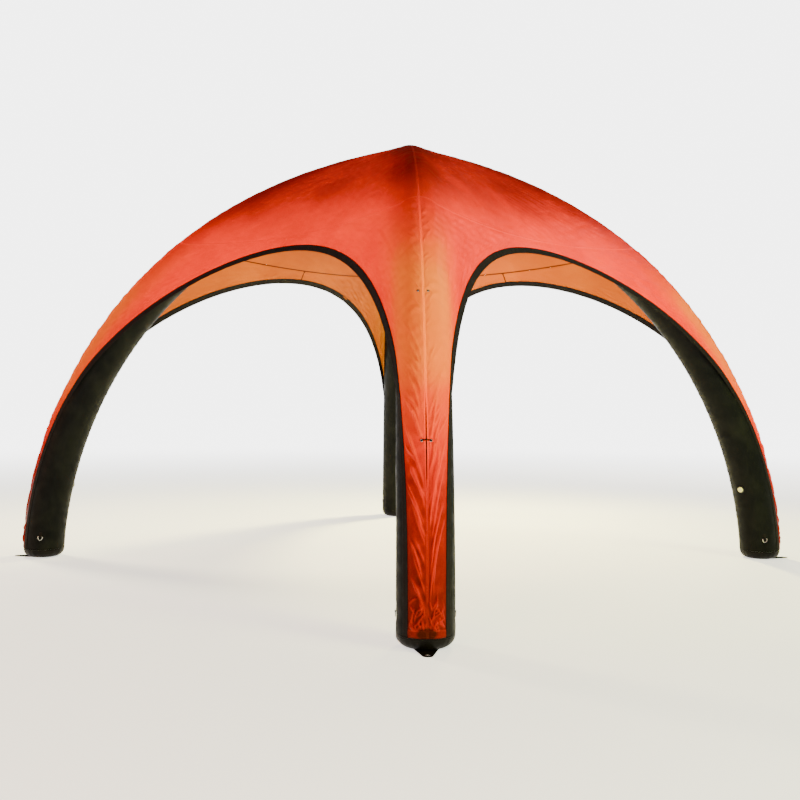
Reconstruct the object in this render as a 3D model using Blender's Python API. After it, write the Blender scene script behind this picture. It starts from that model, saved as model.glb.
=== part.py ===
"""Inflatable dome tent: four air-filled legs bow up to one crown, under a stretched roof.

The feet stand on the corners of a square. X and Y run square to the four arches, Z is up,
and the origin is on the ground under the crown. Lengths are in metres.

Each leg is drawn in its own upright plane, with rho as the distance from the middle, lam as the
distance to the side, and z as the height. Half a roof side is drawn in panel coordinates: x is
the distance from the middle of the arch, y the distance outwards, and z the height.
"""
import math

import bmesh
import bpy
import numpy as np
from mathutils import Matrix, Vector

# Fit between touching pieces
GAP = 0.0003

# Leg centreline
FOOT_SPACING = 4.0
CROWN_HEIGHT = 3.083
CROWN_SLOPE = math.radians(10.0)
UPRIGHT_REACH = 0.64
CROWN_REACH = 2.48

# Leg tube
TUBE_RADIUS = 0.150
SLEEVE_WALL = 0.0015
BLADDER_WALL = 0.0010
CAP_HEIGHT = 0.065
CAP_FLAT_RADIUS = 0.080
CAP_WALL = 0.002
BLADDER_END_HEIGHT = 0.022
BLADDER_SHOULDER = 0.006
BLADDER_EASE = 0.0015

# Roof and its arches
ROOF_SKIN = 0.0012
PANEL_SAG = 0.32
ARCH_CENTRE_HEIGHT = 0.50
ARCH_CROWN_HEIGHT = 2.28
ARCH_LIFT_HEIGHT = 1.25
SEAM_RISE = 0.085
HEM_RISE = 0.004
HEM_ANGLE = math.radians(39.0)
HEM_FLARE_POWER = 3
FIXED_START_ANGLE = math.radians(80.0)
BINDING_WIDTH = 0.032
BINDING_THICKNESS = 0.003

# Inflation valve
VALVE_HEIGHT = 0.55
VALVE_FLANGE_RADIUS = 0.028
VALVE_FLANGE_THICKNESS = 0.002
VALVE_INNER_FLANGE_RADIUS = 0.022
VALVE_COLLAR_RADIUS = 0.015
VALVE_COLLAR_HEIGHT = 0.006
VALVE_NECK_RADIUS = 0.0125
VALVE_BARREL_DEPTH = 0.0075
VALVE_BORE_RADIUS = 0.009
VALVE_SEAT_RADIUS = 0.006
VALVE_SEAT_DEPTH = 0.002
VALVE_HOLE_CLEARANCE = 0.001
GUIDE_THICKNESS = 0.0015
GUIDE_DEPTH = 0.003
VENT_RADIUS = 0.0022
VENT_COUNT = 3
PIN_RADIUS = 0.0020
PIN_CLEARANCE = 0.0004
PIN_HEAD_RADIUS = 0.0055
PIN_HEAD_HEIGHT = 0.0018
PIN_DISC_RADIUS = 0.0085
PIN_DISC_HEIGHT = 0.0020
PIN_TRAVEL = 0.003
SPRING_ROOM = 0.0060
VALVE_CAP_RADIUS = 0.020
VALVE_CAP_WALL = 0.0025
VALVE_CAP_CLEARANCE = 0.0004

# Rings at the feet
RING_HEIGHT = 0.170
RING_WIDTH = 0.040
RING_DROP = 0.030
RING_WIRE_RADIUS = 0.0025
RING_BAR_SHARE = 0.6
TAB_WIDTH = 0.022
TAB_LENGTH = 0.034
TAB_THICKNESS = 0.0015
TAB_CLEARANCE = 0.0004
TAB_TURN = math.radians(292.0)

# Peg tongue at each foot
TONGUE_REACH = 0.225
TONGUE_ROOT_WIDTH = 0.130
TONGUE_TIP_RADIUS = 0.028
TONGUE_TIP_TURN = math.radians(65.0)
TONGUE_THICKNESS = 0.003
PEG_HOLE_RADIUS = 0.0075

# Numbers of facets
LOWER_ROWS = 3
SPAN_ROWS = 8
TOP_ROWS = 5
SPAN_COLUMNS = 4
HALF_SIDES = 8
STRIP_COLUMNS = 3
FIRST_FIXED_COLUMN = 4
TURNED_SIDES = 14
CROWN_JOINT_SHARE = 1.3
CAP_STEPS = 4
TIP_STEPS = 8
BEND_STEPS = 8
WIRE_SIDES = 6
CURVE_SAMPLES = 401

# Worked out from the sizes above
FOOT_RADIUS = FOOT_SPACING / math.sqrt(2)
ROOF_RADIUS = TUBE_RADIUS + GAP
RING_SIDES = 2 * HALF_SIDES
CROWN_EXTRA = CROWN_JOINT_SHARE * TUBE_RADIUS
WELD = GAP / 100

LEGS = {"southeast": -45.0, "northeast": 45.0, "northwest": 135.0, "southwest": 225.0}
SIDES = {
    "south": (-90.0, "southwest", "southeast"),
    "east": (0.0, "southeast", "northeast"),
    "north": (90.0, "northeast", "northwest"),
    "west": (180.0, "northwest", "southwest"),
}


def solve(function, low, high):
    """Places where a rising function crosses zero, one for each entry, by halving."""
    low = np.array(low, dtype=float)
    high = np.array(high, dtype=float)
    for _ in range(60):
        middle = (low + high) / 2
        above = function(middle) > 0
        high = np.where(above, middle, high)
        low = np.where(above, low, middle)
    return (low + high) / 2


def leg_table():
    """Centreline of a leg as a cubic curve, upright at the foot and sloping at the crown."""
    share = np.linspace(0.0, 1.0, CURVE_SAMPLES)[:, None]
    foot = np.array([FOOT_RADIUS, 0.0])
    crown = np.array([0.0, CROWN_HEIGHT])
    above_foot = foot + UPRIGHT_REACH * np.array([0.0, 1.0])
    below_crown = crown + CROWN_REACH * np.array([math.cos(CROWN_SLOPE), -math.sin(CROWN_SLOPE)])
    rest = 1 - share
    points = (rest ** 3 * foot + 3 * rest ** 2 * share * above_foot
              + 3 * rest * share ** 2 * below_crown + share ** 3 * crown)
    slopes = (rest ** 2 * (above_foot - foot) + 2 * rest * share * (below_crown - above_foot)
              + share ** 2 * (crown - below_crown))
    slopes /= np.linalg.norm(slopes, axis=1)[:, None]
    steps = np.linalg.norm(np.diff(points, axis=0), axis=1)
    lengths = np.concatenate([[0.0], np.cumsum(steps)])
    return lengths, points, slopes


LEG_LENGTHS, LEG_POINTS, LEG_SLOPES = leg_table()
LEG_LENGTH = LEG_LENGTHS[-1]


def leg_at(run):
    """Centre (rho, z) and outward normal (rho, z) of a leg at a running length from its foot."""
    over = np.maximum(run - LEG_LENGTH, 0.0)
    slope_rho = np.interp(run, LEG_LENGTHS, LEG_SLOPES[:, 0])
    slope_z = np.interp(run, LEG_LENGTHS, LEG_SLOPES[:, 1])
    rho = np.interp(run, LEG_LENGTHS, LEG_POINTS[:, 0]) + over * slope_rho
    z = np.interp(run, LEG_LENGTHS, LEG_POINTS[:, 1]) + over * slope_z
    return rho, z, slope_z, -slope_rho


def contact_table(run):
    """Angle where the roof leaves the tube, half width of the span there, and its sag.

    A straight span between mirrored legs touches the tube at atan(normal rho). The sag bends
    the end of the span inwards, which moves the contact a little further round.
    """
    rho, _, normal_rho, _ = leg_at(run)
    straight = np.arctan(normal_rho)
    grip = np.sqrt(1 + normal_rho ** 2) / math.sqrt(2)
    width = np.maximum(rho, 0.0) / math.sqrt(2)
    angle = straight
    sag = np.zeros_like(width)
    for _ in range(40):
        sag = PANEL_SAG * (2 * width / FOOT_SPACING) ** 2
        end_slope = np.divide(2 * sag, width, out=np.zeros_like(width), where=width > WELD)
        angle = straight + np.arctan(end_slope / grip)
        reach = ROOF_RADIUS * (np.cos(angle) * normal_rho - np.sin(angle))
        width = np.maximum((rho + reach) / math.sqrt(2), 0.0)
    return angle, width, sag


CONTACT_RUNS = np.linspace(0.0, LEG_LENGTH + 2 * TUBE_RADIUS, CURVE_SAMPLES)
CONTACTS = contact_table(CONTACT_RUNS)


def contact(run):
    """Contact angle, half width of the span and its sag, looked up at a running length."""
    return tuple(np.interp(run, CONTACT_RUNS, values) for values in CONTACTS)


def touch_height(run):
    """Height of the line where the roof leaves the tube."""
    _, z, _, normal_z = leg_at(run)
    return z + ROOF_RADIUS * np.cos(contact(run)[0]) * normal_z


def middle_height(run):
    """Height of the middle of the span between two mirrored legs."""
    _, _, normal_rho, normal_z = leg_at(run)
    return touch_height(run) - contact(run)[2] * np.cos(np.arctan(normal_rho)) * normal_z


def station(height_of, height):
    """Running length at which a height is reached."""
    return float(solve(lambda run: height_of(run) - height, [0.0], [LEG_LENGTH])[0])


LIFT_RUN = station(touch_height, ARCH_LIFT_HEIGHT)
SEAM_RUN = station(middle_height, ARCH_CROWN_HEIGHT + SEAM_RISE)
LIFT_ANGLE = float(contact(np.array([LIFT_RUN]))[0][0])
HEM_HEIGHT = CAP_HEIGHT + HEM_RISE


def wrap_angle(run):
    """How far round the tube the roof lies: a strip below the lift-off, the contact above it."""
    share = np.clip(run / LIFT_RUN, 0.0, 1.0)
    strip = HEM_ANGLE + (LIFT_ANGLE - HEM_ANGLE) * share ** HEM_FLARE_POWER
    return np.where(run < LIFT_RUN, strip, contact(run)[0])


def column_angle(columns, run):
    """Angles of the tube's columns, from the ridge round to the side that faces inwards.

    The first three divide the roof's strip, the next is the outer edge of the binding, and the
    rest stay at fixed angles all the way up.
    """
    columns = np.asarray(columns)
    edge = wrap_angle(run)
    place = np.minimum(columns, RING_SIDES - columns)
    step = (math.pi - FIXED_START_ANGLE) / (HALF_SIDES - FIRST_FIXED_COLUMN)
    fixed = FIXED_START_ANGLE + (place - FIRST_FIXED_COLUMN) * step
    angle = np.where(place == STRIP_COLUMNS, edge + BINDING_WIDTH / ROOF_RADIUS, fixed)
    angle = np.where(place < STRIP_COLUMNS, edge * place / (STRIP_COLUMNS - 1), angle)
    return np.where(columns <= HALF_SIDES, angle, -angle)


def tube_point(run, angle, radius):
    """Point (rho, lam, z) on a tube round the leg's centreline, angle from the outward side."""
    rho, z, normal_rho, normal_z = leg_at(run)
    return np.stack([rho + radius * np.cos(angle) * normal_rho,
                     radius * np.sin(angle),
                     z + radius * np.cos(angle) * normal_z], axis=-1)


def roof_point(run, across, radius):
    """Point (x, y, z) on half a roof side, in panel coordinates.

    Across runs from 0 on the ridge to 1 where the roof leaves the tube, and on to 2 at the
    middle of the arch. The span is straight across and sags by a parabola.
    """
    _, _, normal_rho, normal_z = leg_at(run)
    turn = np.maximum(np.clip(across, 0.0, 1.0) * wrap_angle(run), GAP / (2 * radius))
    point = tube_point(run, turn, radius)
    out = np.clip(across - 1, 0.0, 1.0)
    drop = contact(run)[2] * (1 - (1 - out) ** 2)
    straight = np.arctan(normal_rho)
    x = (point[..., 0] - point[..., 1]) / math.sqrt(2) * (1 - out)
    y = (point[..., 0] + point[..., 1]) / math.sqrt(2) - math.sqrt(2) * np.sin(straight) * drop
    z = point[..., 2] - np.cos(straight) * normal_z * drop
    return np.stack([x, y, z], axis=-1)


def arch_edge(middle_offset):
    """Run and across of the arch's edge, from the lift-off to the middle of the arch.

    Seen square on, the edge is a quarter of an ellipse that passes the lift-off point. On each
    line at a fixed distance from the middle, the edge is where the roof has that height.
    """
    rise = ARCH_CROWN_HEIGHT - ARCH_CENTRE_HEIGHT
    first = math.asin((ARCH_LIFT_HEIGHT - ARCH_CENTRE_HEIGHT) / rise)
    lift_width = float(contact(np.array([LIFT_RUN]))[1][0])
    half_width = lift_width / math.cos(first)
    turn = np.linspace(first, math.pi / 2, SPAN_ROWS)[1:]
    x = np.maximum(half_width * np.cos(turn), middle_offset)
    height = ARCH_CENTRE_HEIGHT + rise * np.sin(turn)
    low = np.full(len(turn), LIFT_RUN)
    high = solve(lambda run: x - contact(run)[1], low, np.full(len(turn), LEG_LENGTH))

    def above_edge(run):
        width = np.maximum(contact(run)[1], x)
        return roof_point(run, 2 - x / width, ROOF_RADIUS)[:, 2] - height

    runs = solve(above_edge, low, high)
    across = 2 - x / np.maximum(contact(runs)[1], x)
    return np.concatenate([[LIFT_RUN], runs]), np.concatenate([[1.0], across])


def stations():
    """Running lengths of the rows that the sleeve, the air tube and the roof share."""
    lower = np.linspace(HEM_HEIGHT, LIFT_RUN, LOWER_ROWS + 1)
    span = np.linspace(LIFT_RUN, SEAM_RUN, SPAN_ROWS + 1)[1:]
    top = np.linspace(SEAM_RUN, LEG_LENGTH - CROWN_EXTRA, TOP_ROWS)[1:]
    return np.concatenate([lower, span, top])


ROWS = stations()


def mitre_run(angle_at, radius, offset, count):
    """Running length where each column meets the crown joint, offset back from it."""
    def past_joint(run):
        point = tube_point(run, angle_at(run), radius)
        return np.abs(point[:, 1]) + offset - point[:, 0]
    return solve(past_joint, np.full(count, ROWS[-1]), np.full(count, LEG_LENGTH + TUBE_RADIUS))


def floor_run(angle_at, radius, height, count):
    """Running length where each column stands at a height near the foot."""
    def over_floor(run):
        return tube_point(run, angle_at(run), radius)[:, 2] - height
    return solve(over_floor, np.zeros(count), np.full(count, LIFT_RUN))


def tube_grid(radius, columns, height, offset):
    """Rows of points round a leg tube, cut level at the foot and mitred at the crown."""
    def angle_at(run):
        return column_angle(columns, run)
    count = len(columns)
    first = floor_run(angle_at, radius, height, count)
    last = mitre_run(angle_at, radius, offset, count)
    runs = np.vstack([first, np.repeat(ROWS[1:, None], count, axis=1), last])
    return np.stack([tube_point(row, angle_at(row), radius) for row in runs])


class Solid:
    """Points and triangles of one solid, gathered before they become a mesh."""

    def __init__(self):
        self.points = []
        self.faces = []

    def add(self, points):
        """Adds an array of points and returns their numbers in the same layout."""
        flat = np.reshape(points, (-1, 3))
        first = len(self.points)
        self.points.extend(flat.tolist())
        return np.arange(first, first + len(flat)).reshape(np.shape(points)[:-1])

    def quad(self, a, b, c, d, flip=False):
        """Two triangles, split from a to c."""
        if flip:
            b, d = d, b
        self.faces.append((int(a), int(b), int(c)))
        self.faces.append((int(a), int(c), int(d)))

    def sheet(self, grid, flip=False):
        """Triangles between neighbouring rows and columns of a grid of point numbers."""
        for low, high in zip(grid[:-1], grid[1:]):
            for i in range(len(low) - 1):
                self.quad(high[i + 1], high[i], low[i], low[i + 1], flip)

    def fan(self, ring, flip=False):
        """One flat face on a ring of points."""
        ring = [int(i) for i in ring]
        self.faces.append(tuple(reversed(ring)) if flip else tuple(ring))

    def walls(self, outer, inner, last_row=True):
        """Closes the rim between an outer and an inner grid."""
        def edge(a, b):
            for i in range(len(a) - 1):
                self.quad(a[i], a[i + 1], b[i + 1], b[i])
        edge(inner[0], outer[0])
        edge(outer[:, 0], inner[:, 0])
        edge(inner[:, -1], outer[:, -1])
        if last_row:
            edge(outer[-1], inner[-1])

    def build(self, name, material, frame=None):
        """Makes the object, with coincident points joined and faces pointing out."""
        mesh = bpy.data.meshes.new(name)
        mesh.from_pydata(self.points, [], self.faces)
        work = bmesh.new()
        work.from_mesh(mesh)
        bmesh.ops.remove_doubles(work, verts=work.verts, dist=WELD)
        bmesh.ops.dissolve_degenerate(work, edges=work.edges, dist=WELD)
        bmesh.ops.triangulate(work, faces=[face for face in work.faces if len(face.verts) > 3])
        if work.calc_volume(signed=True) < 0:
            bmesh.ops.reverse_faces(work, faces=work.faces)
        work.to_mesh(mesh)
        work.free()
        mesh.shade_smooth()
        mesh.set_sharp_from_angle(angle=math.radians(40.0))
        mesh.materials.append(material)
        thing = bpy.data.objects.new(name, mesh)
        bpy.context.collection.objects.link(thing)
        if frame is not None:
            thing.matrix_world = frame
        return thing


def make_material(name, colour, roughness, metallic=0.0):
    """Plain finish with a colour, a roughness and a metallic value."""
    material = bpy.data.materials.new(name)
    material.use_nodes = True
    shader = material.node_tree.nodes["Principled BSDF"]
    shader.inputs["Base Color"].default_value = (*colour, 1.0)
    shader.inputs["Roughness"].default_value = roughness
    shader.inputs["Metallic"].default_value = metallic
    return material


def leg_to_world(points, leg, side=1):
    """Turns points (rho, lam, z) of a leg into world points."""
    angle = math.radians(LEGS[leg])
    rho, lam, z = points[..., 0], side * points[..., 1], points[..., 2]
    return np.stack([rho * math.cos(angle) - lam * math.sin(angle),
                     rho * math.sin(angle) + lam * math.cos(angle), z], axis=-1)


def panel_to_world(points, side_name, hand):
    """Turns panel points (x, y, z) into world points. Hand is 1 or -1, for the leg of that end."""
    angle = math.radians(SIDES[side_name][0])
    x, y, z = hand * points[..., 0], points[..., 1], points[..., 2]
    return np.stack([y * math.cos(angle) - x * math.sin(angle),
                     y * math.sin(angle) + x * math.cos(angle), z], axis=-1)


# Leg tubes

def tube_sheet(solid, grid, flip=False):
    """Closed ring of triangles whose split runs away from the ridge going up, on both sides."""
    count = grid.shape[1]
    for low, high in zip(grid[:-1], grid[1:]):
        for i in range(count):
            j = (i + 1) % count
            if i < count / 2:
                solid.quad(high[j], high[i], low[i], low[j], flip)
            else:
                solid.quad(high[i], low[i], low[j], high[j], flip)


def make_sleeve(leg, material):
    """Woven outer tube of a leg, open at the foot and mitred against its neighbours."""
    columns = list(range(RING_SIDES))
    offset = GAP / math.sqrt(2)
    outer = tube_grid(TUBE_RADIUS, columns, CAP_HEIGHT + GAP, offset)
    inner = tube_grid(TUBE_RADIUS - SLEEVE_WALL, columns, CAP_HEIGHT + GAP, offset)
    solid = Solid()
    out = solid.add(leg_to_world(outer, leg))
    ins = solid.add(leg_to_world(inner, leg))
    tube_sheet(solid, out)
    tube_sheet(solid, ins, flip=True)
    for i in range(RING_SIDES):
        j = (i + 1) % RING_SIDES
        solid.quad(out[0][j], out[0][i], ins[0][i], ins[0][j])
        solid.quad(out[-1][i], out[-1][j], ins[-1][j], ins[-1][i])
    return solid.build("leg_sleeve_" + leg, material)


def bladder_columns():
    """Columns of the air tube: every second one, with the pair that frames the valve."""
    half = [0, 2, 4, 6, 7, HALF_SIDES]
    return half + [RING_SIDES - column for column in reversed(half[1:-1])]


def make_bladder(leg, material):
    """Airtight inner tube, closed at both ends, with a port for the valve cut afterwards."""
    columns = bladder_columns()
    half = len(columns) // 2
    solid = Solid()
    for wall, flip in ((0.0, False), (BLADDER_WALL, True)):
        radius = TUBE_RADIUS - SLEEVE_WALL - GAP - wall
        offset = GAP + wall * math.sqrt(2)
        grid = tube_grid(radius, columns, CAP_HEIGHT + BLADDER_SHOULDER, offset)
        middle = np.array([FOOT_RADIUS, 0.0, 0.0])
        from_middle = grid[0] - middle
        eased = 1 - BLADDER_EASE / TUBE_RADIUS
        grid[0] = middle + from_middle * np.array([eased, eased, 1.0])
        bottom = middle + from_middle * CAP_FLAT_RADIUS / TUBE_RADIUS
        bottom[:, 2] = BLADDER_END_HEIGHT + wall
        rows = np.concatenate([bottom[None], grid])
        numbers = solid.add(leg_to_world(rows, leg))
        tube_sheet(solid, numbers, flip)
        solid.fan(numbers[0], not flip)
        top = list(numbers[-1])
        solid.fan(top[:half + 1], flip)
        solid.fan(top[half:] + top[:1], flip)
    return solid.build("air_bladder_" + leg, material)


def turned(name, profile, frame, material, sides=TURNED_SIDES, closed=True):
    """Solid turned round the frame's Z axis from (radius, height) points."""
    solid = Solid()
    turn = np.linspace(0.0, 2 * math.pi, sides + 1)
    rows = np.array([[(r * math.cos(a), r * math.sin(a), h) for a in turn] for r, h in profile])
    if closed:
        rows = np.concatenate([rows, rows[:1]])
    solid.sheet(solid.add(rows))
    return solid.build(name, material, frame)


def cap_ring(step, wall):
    """Radius and height of one ring of the foot's dome, on its face at a depth of wall."""
    turn = math.pi / 2 * (1 - step / CAP_STEPS)
    bulge = TUBE_RADIUS - CAP_FLAT_RADIUS - wall
    return (CAP_FLAT_RADIUS + bulge * math.cos(turn),
            wall + (CAP_HEIGHT - wall) * (1 - math.sin(turn)))


def make_foot_cap(leg, material):
    """Domed end of a leg with a flat ring of contact on the ground, open to the tube above."""
    outer = [(0.0, 0.0)] + [cap_ring(step, 0.0) for step in range(CAP_STEPS + 1)]
    inner = [(0.0, CAP_WALL)] + [cap_ring(step, CAP_WALL) for step in range(CAP_STEPS + 1)]
    return turned("foot_cap_" + leg, outer + inner[::-1], foot_frame(leg), material,
                  sides=RING_SIDES, closed=False)


# Roof

def crown_row(across, radius):
    """Running length where each column of a roof side meets the middle of the arch."""
    def past_middle(run):
        return -roof_point(run, np.minimum(across, 1.0), radius)[:, 0]
    count = len(across)
    return solve(past_middle, np.full(count, ROWS[-1]), np.full(count, LEG_LENGTH + TUBE_RADIUS))


def mirrored_sheet(solid, grid, flip):
    """The second half of a sheet, whose triangles split the other way, as its mirror image."""
    for low, high in zip(grid[:-1], grid[1:]):
        for i in range(len(low) - 1):
            solid.quad(high[i], low[i], low[i + 1], high[i + 1], flip)


def tube_columns():
    """Across values of the three columns that lie on the tube."""
    return np.array([0.0, 0.5, 1.0])


def make_strip(side_name, leg, hand, material):
    """Side strip of the roof: down one leg, and out to the arch's edge and its middle seam."""
    rows = ROWS[:LOWER_ROWS + SPAN_ROWS + 1]
    edge_run, edge_across = arch_edge(GAP / 2)
    seam_width = float(contact(np.array([SEAM_RUN]))[1][0])
    far_run = np.concatenate([rows[:LOWER_ROWS], edge_run, [SEAM_RUN]])
    far_across = np.concatenate([np.ones(LOWER_ROWS), edge_across, [2 - GAP / 2 / seam_width]])
    shares = np.linspace(0.0, 1.0, SPAN_COLUMNS + 1)[1:]
    near = np.repeat(rows[:, None], 3, axis=1)
    columns = tube_columns()

    def angle_at(run):
        return columns * wrap_angle(run)

    near[0] = floor_run(angle_at, ROOF_RADIUS, HEM_HEIGHT, len(columns))
    far_run[0] = near[0, -1]
    runs = np.hstack([near, near[:, -1:] + (far_run[:, None] - near[:, -1:]) * shares])
    across = np.hstack([np.repeat(columns[None], len(rows), axis=0),
                        1 + (far_across[:, None] - 1) * shares])
    solid = Solid()
    outer, inner = [solid.add(panel_to_world(roof_point(runs, across, radius), side_name, hand))
                    for radius in (ROOF_RADIUS + ROOF_SKIN, ROOF_RADIUS)]
    solid.sheet(outer)
    solid.sheet(inner, flip=True)
    solid.walls(outer, inner)
    return solid.build(f"roof_strip_{side_name}_{leg}", material)


def make_top(side_name, material):
    """Top piece of one roof side, from its long seam up to the peak."""
    rows = np.concatenate([[SEAM_RUN + GAP], ROWS[LOWER_ROWS + SPAN_ROWS + 1:]])
    columns = np.concatenate([tube_columns(), 1 + np.linspace(0.0, 1.0, SPAN_COLUMNS + 1)[1:]])
    solid = Solid()
    layers = []
    for radius in (ROOF_RADIUS + ROOF_SKIN, ROOF_RADIUS):
        runs = np.vstack([np.repeat(rows[:, None], len(columns), axis=1),
                          crown_row(columns, radius)])
        half = roof_point(runs, columns, radius)
        left = panel_to_world(half, side_name, 1)
        right = panel_to_world(half, side_name, -1)[:, -2::-1]
        layers.append(solid.add(np.concatenate([left, right], axis=1)))
    for layer, flip in zip(layers, (False, True)):
        solid.sheet(layer[:, :len(columns)], flip)
        mirrored_sheet(solid, layer[:, len(columns) - 1:], flip)
    solid.walls(layers[0], layers[1], last_row=False)
    return solid.build("roof_top_" + side_name, material)


def binding_frame():
    """Near and far rails of the edge binding, and its outward direction, for half an arch."""
    rows = ROWS[:LOWER_ROWS]
    edge_run, edge_across = arch_edge(0.0)
    first = floor_run(wrap_angle, ROOF_RADIUS, HEM_HEIGHT, 1)
    strip_run = np.concatenate([first, rows[1:], [LIFT_RUN]])
    width = BINDING_WIDTH / ROOF_RADIUS
    space = GAP / ROOF_RADIUS
    rails = []
    for radius in (ROOF_RADIUS, ROOF_RADIUS + BINDING_THICKNESS):
        for extra in (space, width):
            point = tube_point(strip_run, wrap_angle(strip_run) + extra, radius)
            x = (point[:, 0] - point[:, 1]) / math.sqrt(2)
            y = (point[:, 0] + point[:, 1]) / math.sqrt(2)
            rails.append(np.stack([x, y, point[:, 2]], axis=-1))
    edge = roof_point(edge_run, edge_across, ROOF_RADIUS)
    lifted = roof_point(edge_run, edge_across, ROOF_RADIUS + BINDING_THICKNESS)
    normal = lifted - edge
    normal /= np.linalg.norm(normal, axis=1)[:, None]
    mirrored = edge[-2] * np.array([-1.0, 1.0, 1.0])
    along = np.gradient(np.vstack([edge, mirrored]), axis=0)[:-1]
    down = np.cross(along, normal)
    down /= np.linalg.norm(down, axis=1)[:, None]
    if down[-1, 2] > 0:
        down = -down
    arch = [edge[1:] + down[1:] * reach + normal[1:] * lift
            for lift in (0.0, BINDING_THICKNESS) for reach in (GAP, BINDING_WIDTH)]
    return [np.vstack([low, high]) for low, high in zip(rails, arch)]


def make_binding(side_name, material):
    """Webbing along one arch, from hem to hem."""
    rails = binding_frame()
    whole = [np.concatenate([panel_to_world(rail, side_name, 1),
                             panel_to_world(rail, side_name, -1)[-2::-1]]) for rail in rails]
    inner_near, inner_far, outer_near, outer_far = whole
    section = np.stack([inner_near, inner_far, outer_far, outer_near, inner_near], axis=1)
    solid = Solid()
    grid = solid.add(section)
    solid.sheet(grid)
    solid.fan(grid[0][:-1], flip=True)
    solid.fan(grid[-1][:-1])
    return solid.build("arch_binding_" + side_name, material)




# Places on the legs' facets

def facet_frame(leg, side, column, height, radius, offset=0.0):
    """Frame on a flat facet of a leg: X across it, Y out of it, and Z up along it."""
    columns = (column, column + 1)
    runs = ROWS
    low = [tube_point(runs, column_angle(c, runs), radius) for c in columns]
    middle = (low[0] + low[1]) / 2
    row = int(np.searchsorted(middle[:, 2], height)) - 1
    row = max(row, 0)
    share = (height - middle[row, 2]) / (middle[row + 1, 2] - middle[row, 2])
    place = middle[row] + (middle[row + 1] - middle[row]) * share
    rise = leg_to_world(middle[row + 1] - middle[row], leg, side)
    edges = [leg_to_world(line[row] + (line[row + 1] - line[row]) * share, leg, side)
             for line in low]
    place = Vector(leg_to_world(place, leg, side))
    up = Vector(rise).normalized()
    span = Vector(edges[1] - edges[0]).normalized()
    out = span.cross(up).normalized()
    axis = Vector(leg_to_world(np.array(leg_at(np.array([height]))[0].tolist() + [0.0, 0.0]), leg))
    if out.dot(place - Vector((axis[0], axis[1], place[2]))) < 0:
        out = -out
    across = out.cross(up)
    frame = Matrix((across, out, up)).transposed().to_4x4()
    frame.translation = place + across * offset
    return frame


def upright(frame):
    """The same frame with Z pointing out of the facet."""
    return frame @ Matrix.Rotation(-math.pi / 2, 4, "X")


# Valve

VALVE_COLUMN = HALF_SIDES - 2


def valve_levels():
    """Heights along the valve's axis, with 0 on the sleeve's outer face."""
    inside = -(SLEEVE_WALL + GAP + BLADDER_WALL + GAP)
    flange = inside - VALVE_FLANGE_THICKNESS
    seat_end = flange - VALVE_BARREL_DEPTH
    collar = GAP + VALVE_FLANGE_THICKNESS
    rim = collar + VALVE_COLLAR_HEIGHT
    return inside, flange, seat_end, collar, rim


def make_valve_body(leg, frame, material):
    """Valve barrel with a flange on each side of the walls, a threaded collar and a pin guide."""
    inside, flange, seat_end, collar, rim = valve_levels()
    barrel = VALVE_BORE_RADIUS + VALVE_FLANGE_THICKNESS
    guide_top = -GUIDE_DEPTH
    guide_low = guide_top - GUIDE_THICKNESS
    hole = PIN_RADIUS + PIN_CLEARANCE
    profile = [
        (VALVE_SEAT_RADIUS, seat_end), (barrel, seat_end), (barrel, flange),
        (VALVE_INNER_FLANGE_RADIUS, flange), (VALVE_INNER_FLANGE_RADIUS, inside),
        (VALVE_NECK_RADIUS, inside), (VALVE_NECK_RADIUS, GAP), (VALVE_FLANGE_RADIUS, GAP),
        (VALVE_FLANGE_RADIUS, collar), (VALVE_COLLAR_RADIUS, collar), (VALVE_COLLAR_RADIUS, rim),
        (VALVE_BORE_RADIUS, rim), (VALVE_BORE_RADIUS, guide_top), (hole, guide_top),
        (hole, guide_low), (VALVE_BORE_RADIUS, guide_low),
        (VALVE_BORE_RADIUS, seat_end + VALVE_SEAT_DEPTH),
        (VALVE_SEAT_RADIUS, seat_end + VALVE_SEAT_DEPTH),
    ]
    body = turned("valve_body_" + leg, profile, frame, material)
    reach = (VALVE_BORE_RADIUS + hole) / 2
    for i in range(VENT_COUNT):
        turn = Matrix.Rotation(2 * math.pi * i / VENT_COUNT, 4, "Z")
        middle = turn @ Vector((reach, 0.0, guide_top - GUIDE_THICKNESS / 2))
        cut(body, frame @ Matrix.Translation(middle), VENT_RADIUS, 2 * GUIDE_THICKNESS)
    return body


def cut(thing, frame, radius, depth):
    """Cuts a round hole through a piece, along the frame's Z axis."""
    bpy.ops.mesh.primitive_cylinder_add(vertices=TURNED_SIDES, radius=radius, depth=depth)
    cutter = bpy.context.active_object
    cutter.name = "cutter_" + thing.name
    cutter.matrix_world = frame
    cutter.hide_render = True
    cutter.display_type = "WIRE"
    hole = thing.modifiers.new("Hole", "BOOLEAN")
    hole.operation = "DIFFERENCE"
    hole.solver = "EXACT"
    hole.object = cutter


def make_valve_pin(leg, frame, material):
    """Sprung stem with a press button at the outer end and a sealing disc at the inner end."""
    seat_end = valve_levels()[2]
    disc_top = seat_end - GAP
    head_low = pin_head_height()
    profile = [
        (0.0, disc_top - PIN_DISC_HEIGHT), (PIN_DISC_RADIUS, disc_top - PIN_DISC_HEIGHT),
        (PIN_DISC_RADIUS, disc_top), (PIN_RADIUS, disc_top), (PIN_RADIUS, head_low),
        (PIN_HEAD_RADIUS, head_low), (PIN_HEAD_RADIUS, head_low + PIN_HEAD_HEIGHT),
        (0.0, head_low + PIN_HEAD_HEIGHT),
    ]
    return turned("valve_pin_" + leg, profile, frame, material, closed=False)



def pin_head_height():
    """Underside of the press button at rest, clear of the pressed spring by its travel."""
    return -GUIDE_DEPTH + SPRING_ROOM + PIN_TRAVEL


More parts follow.
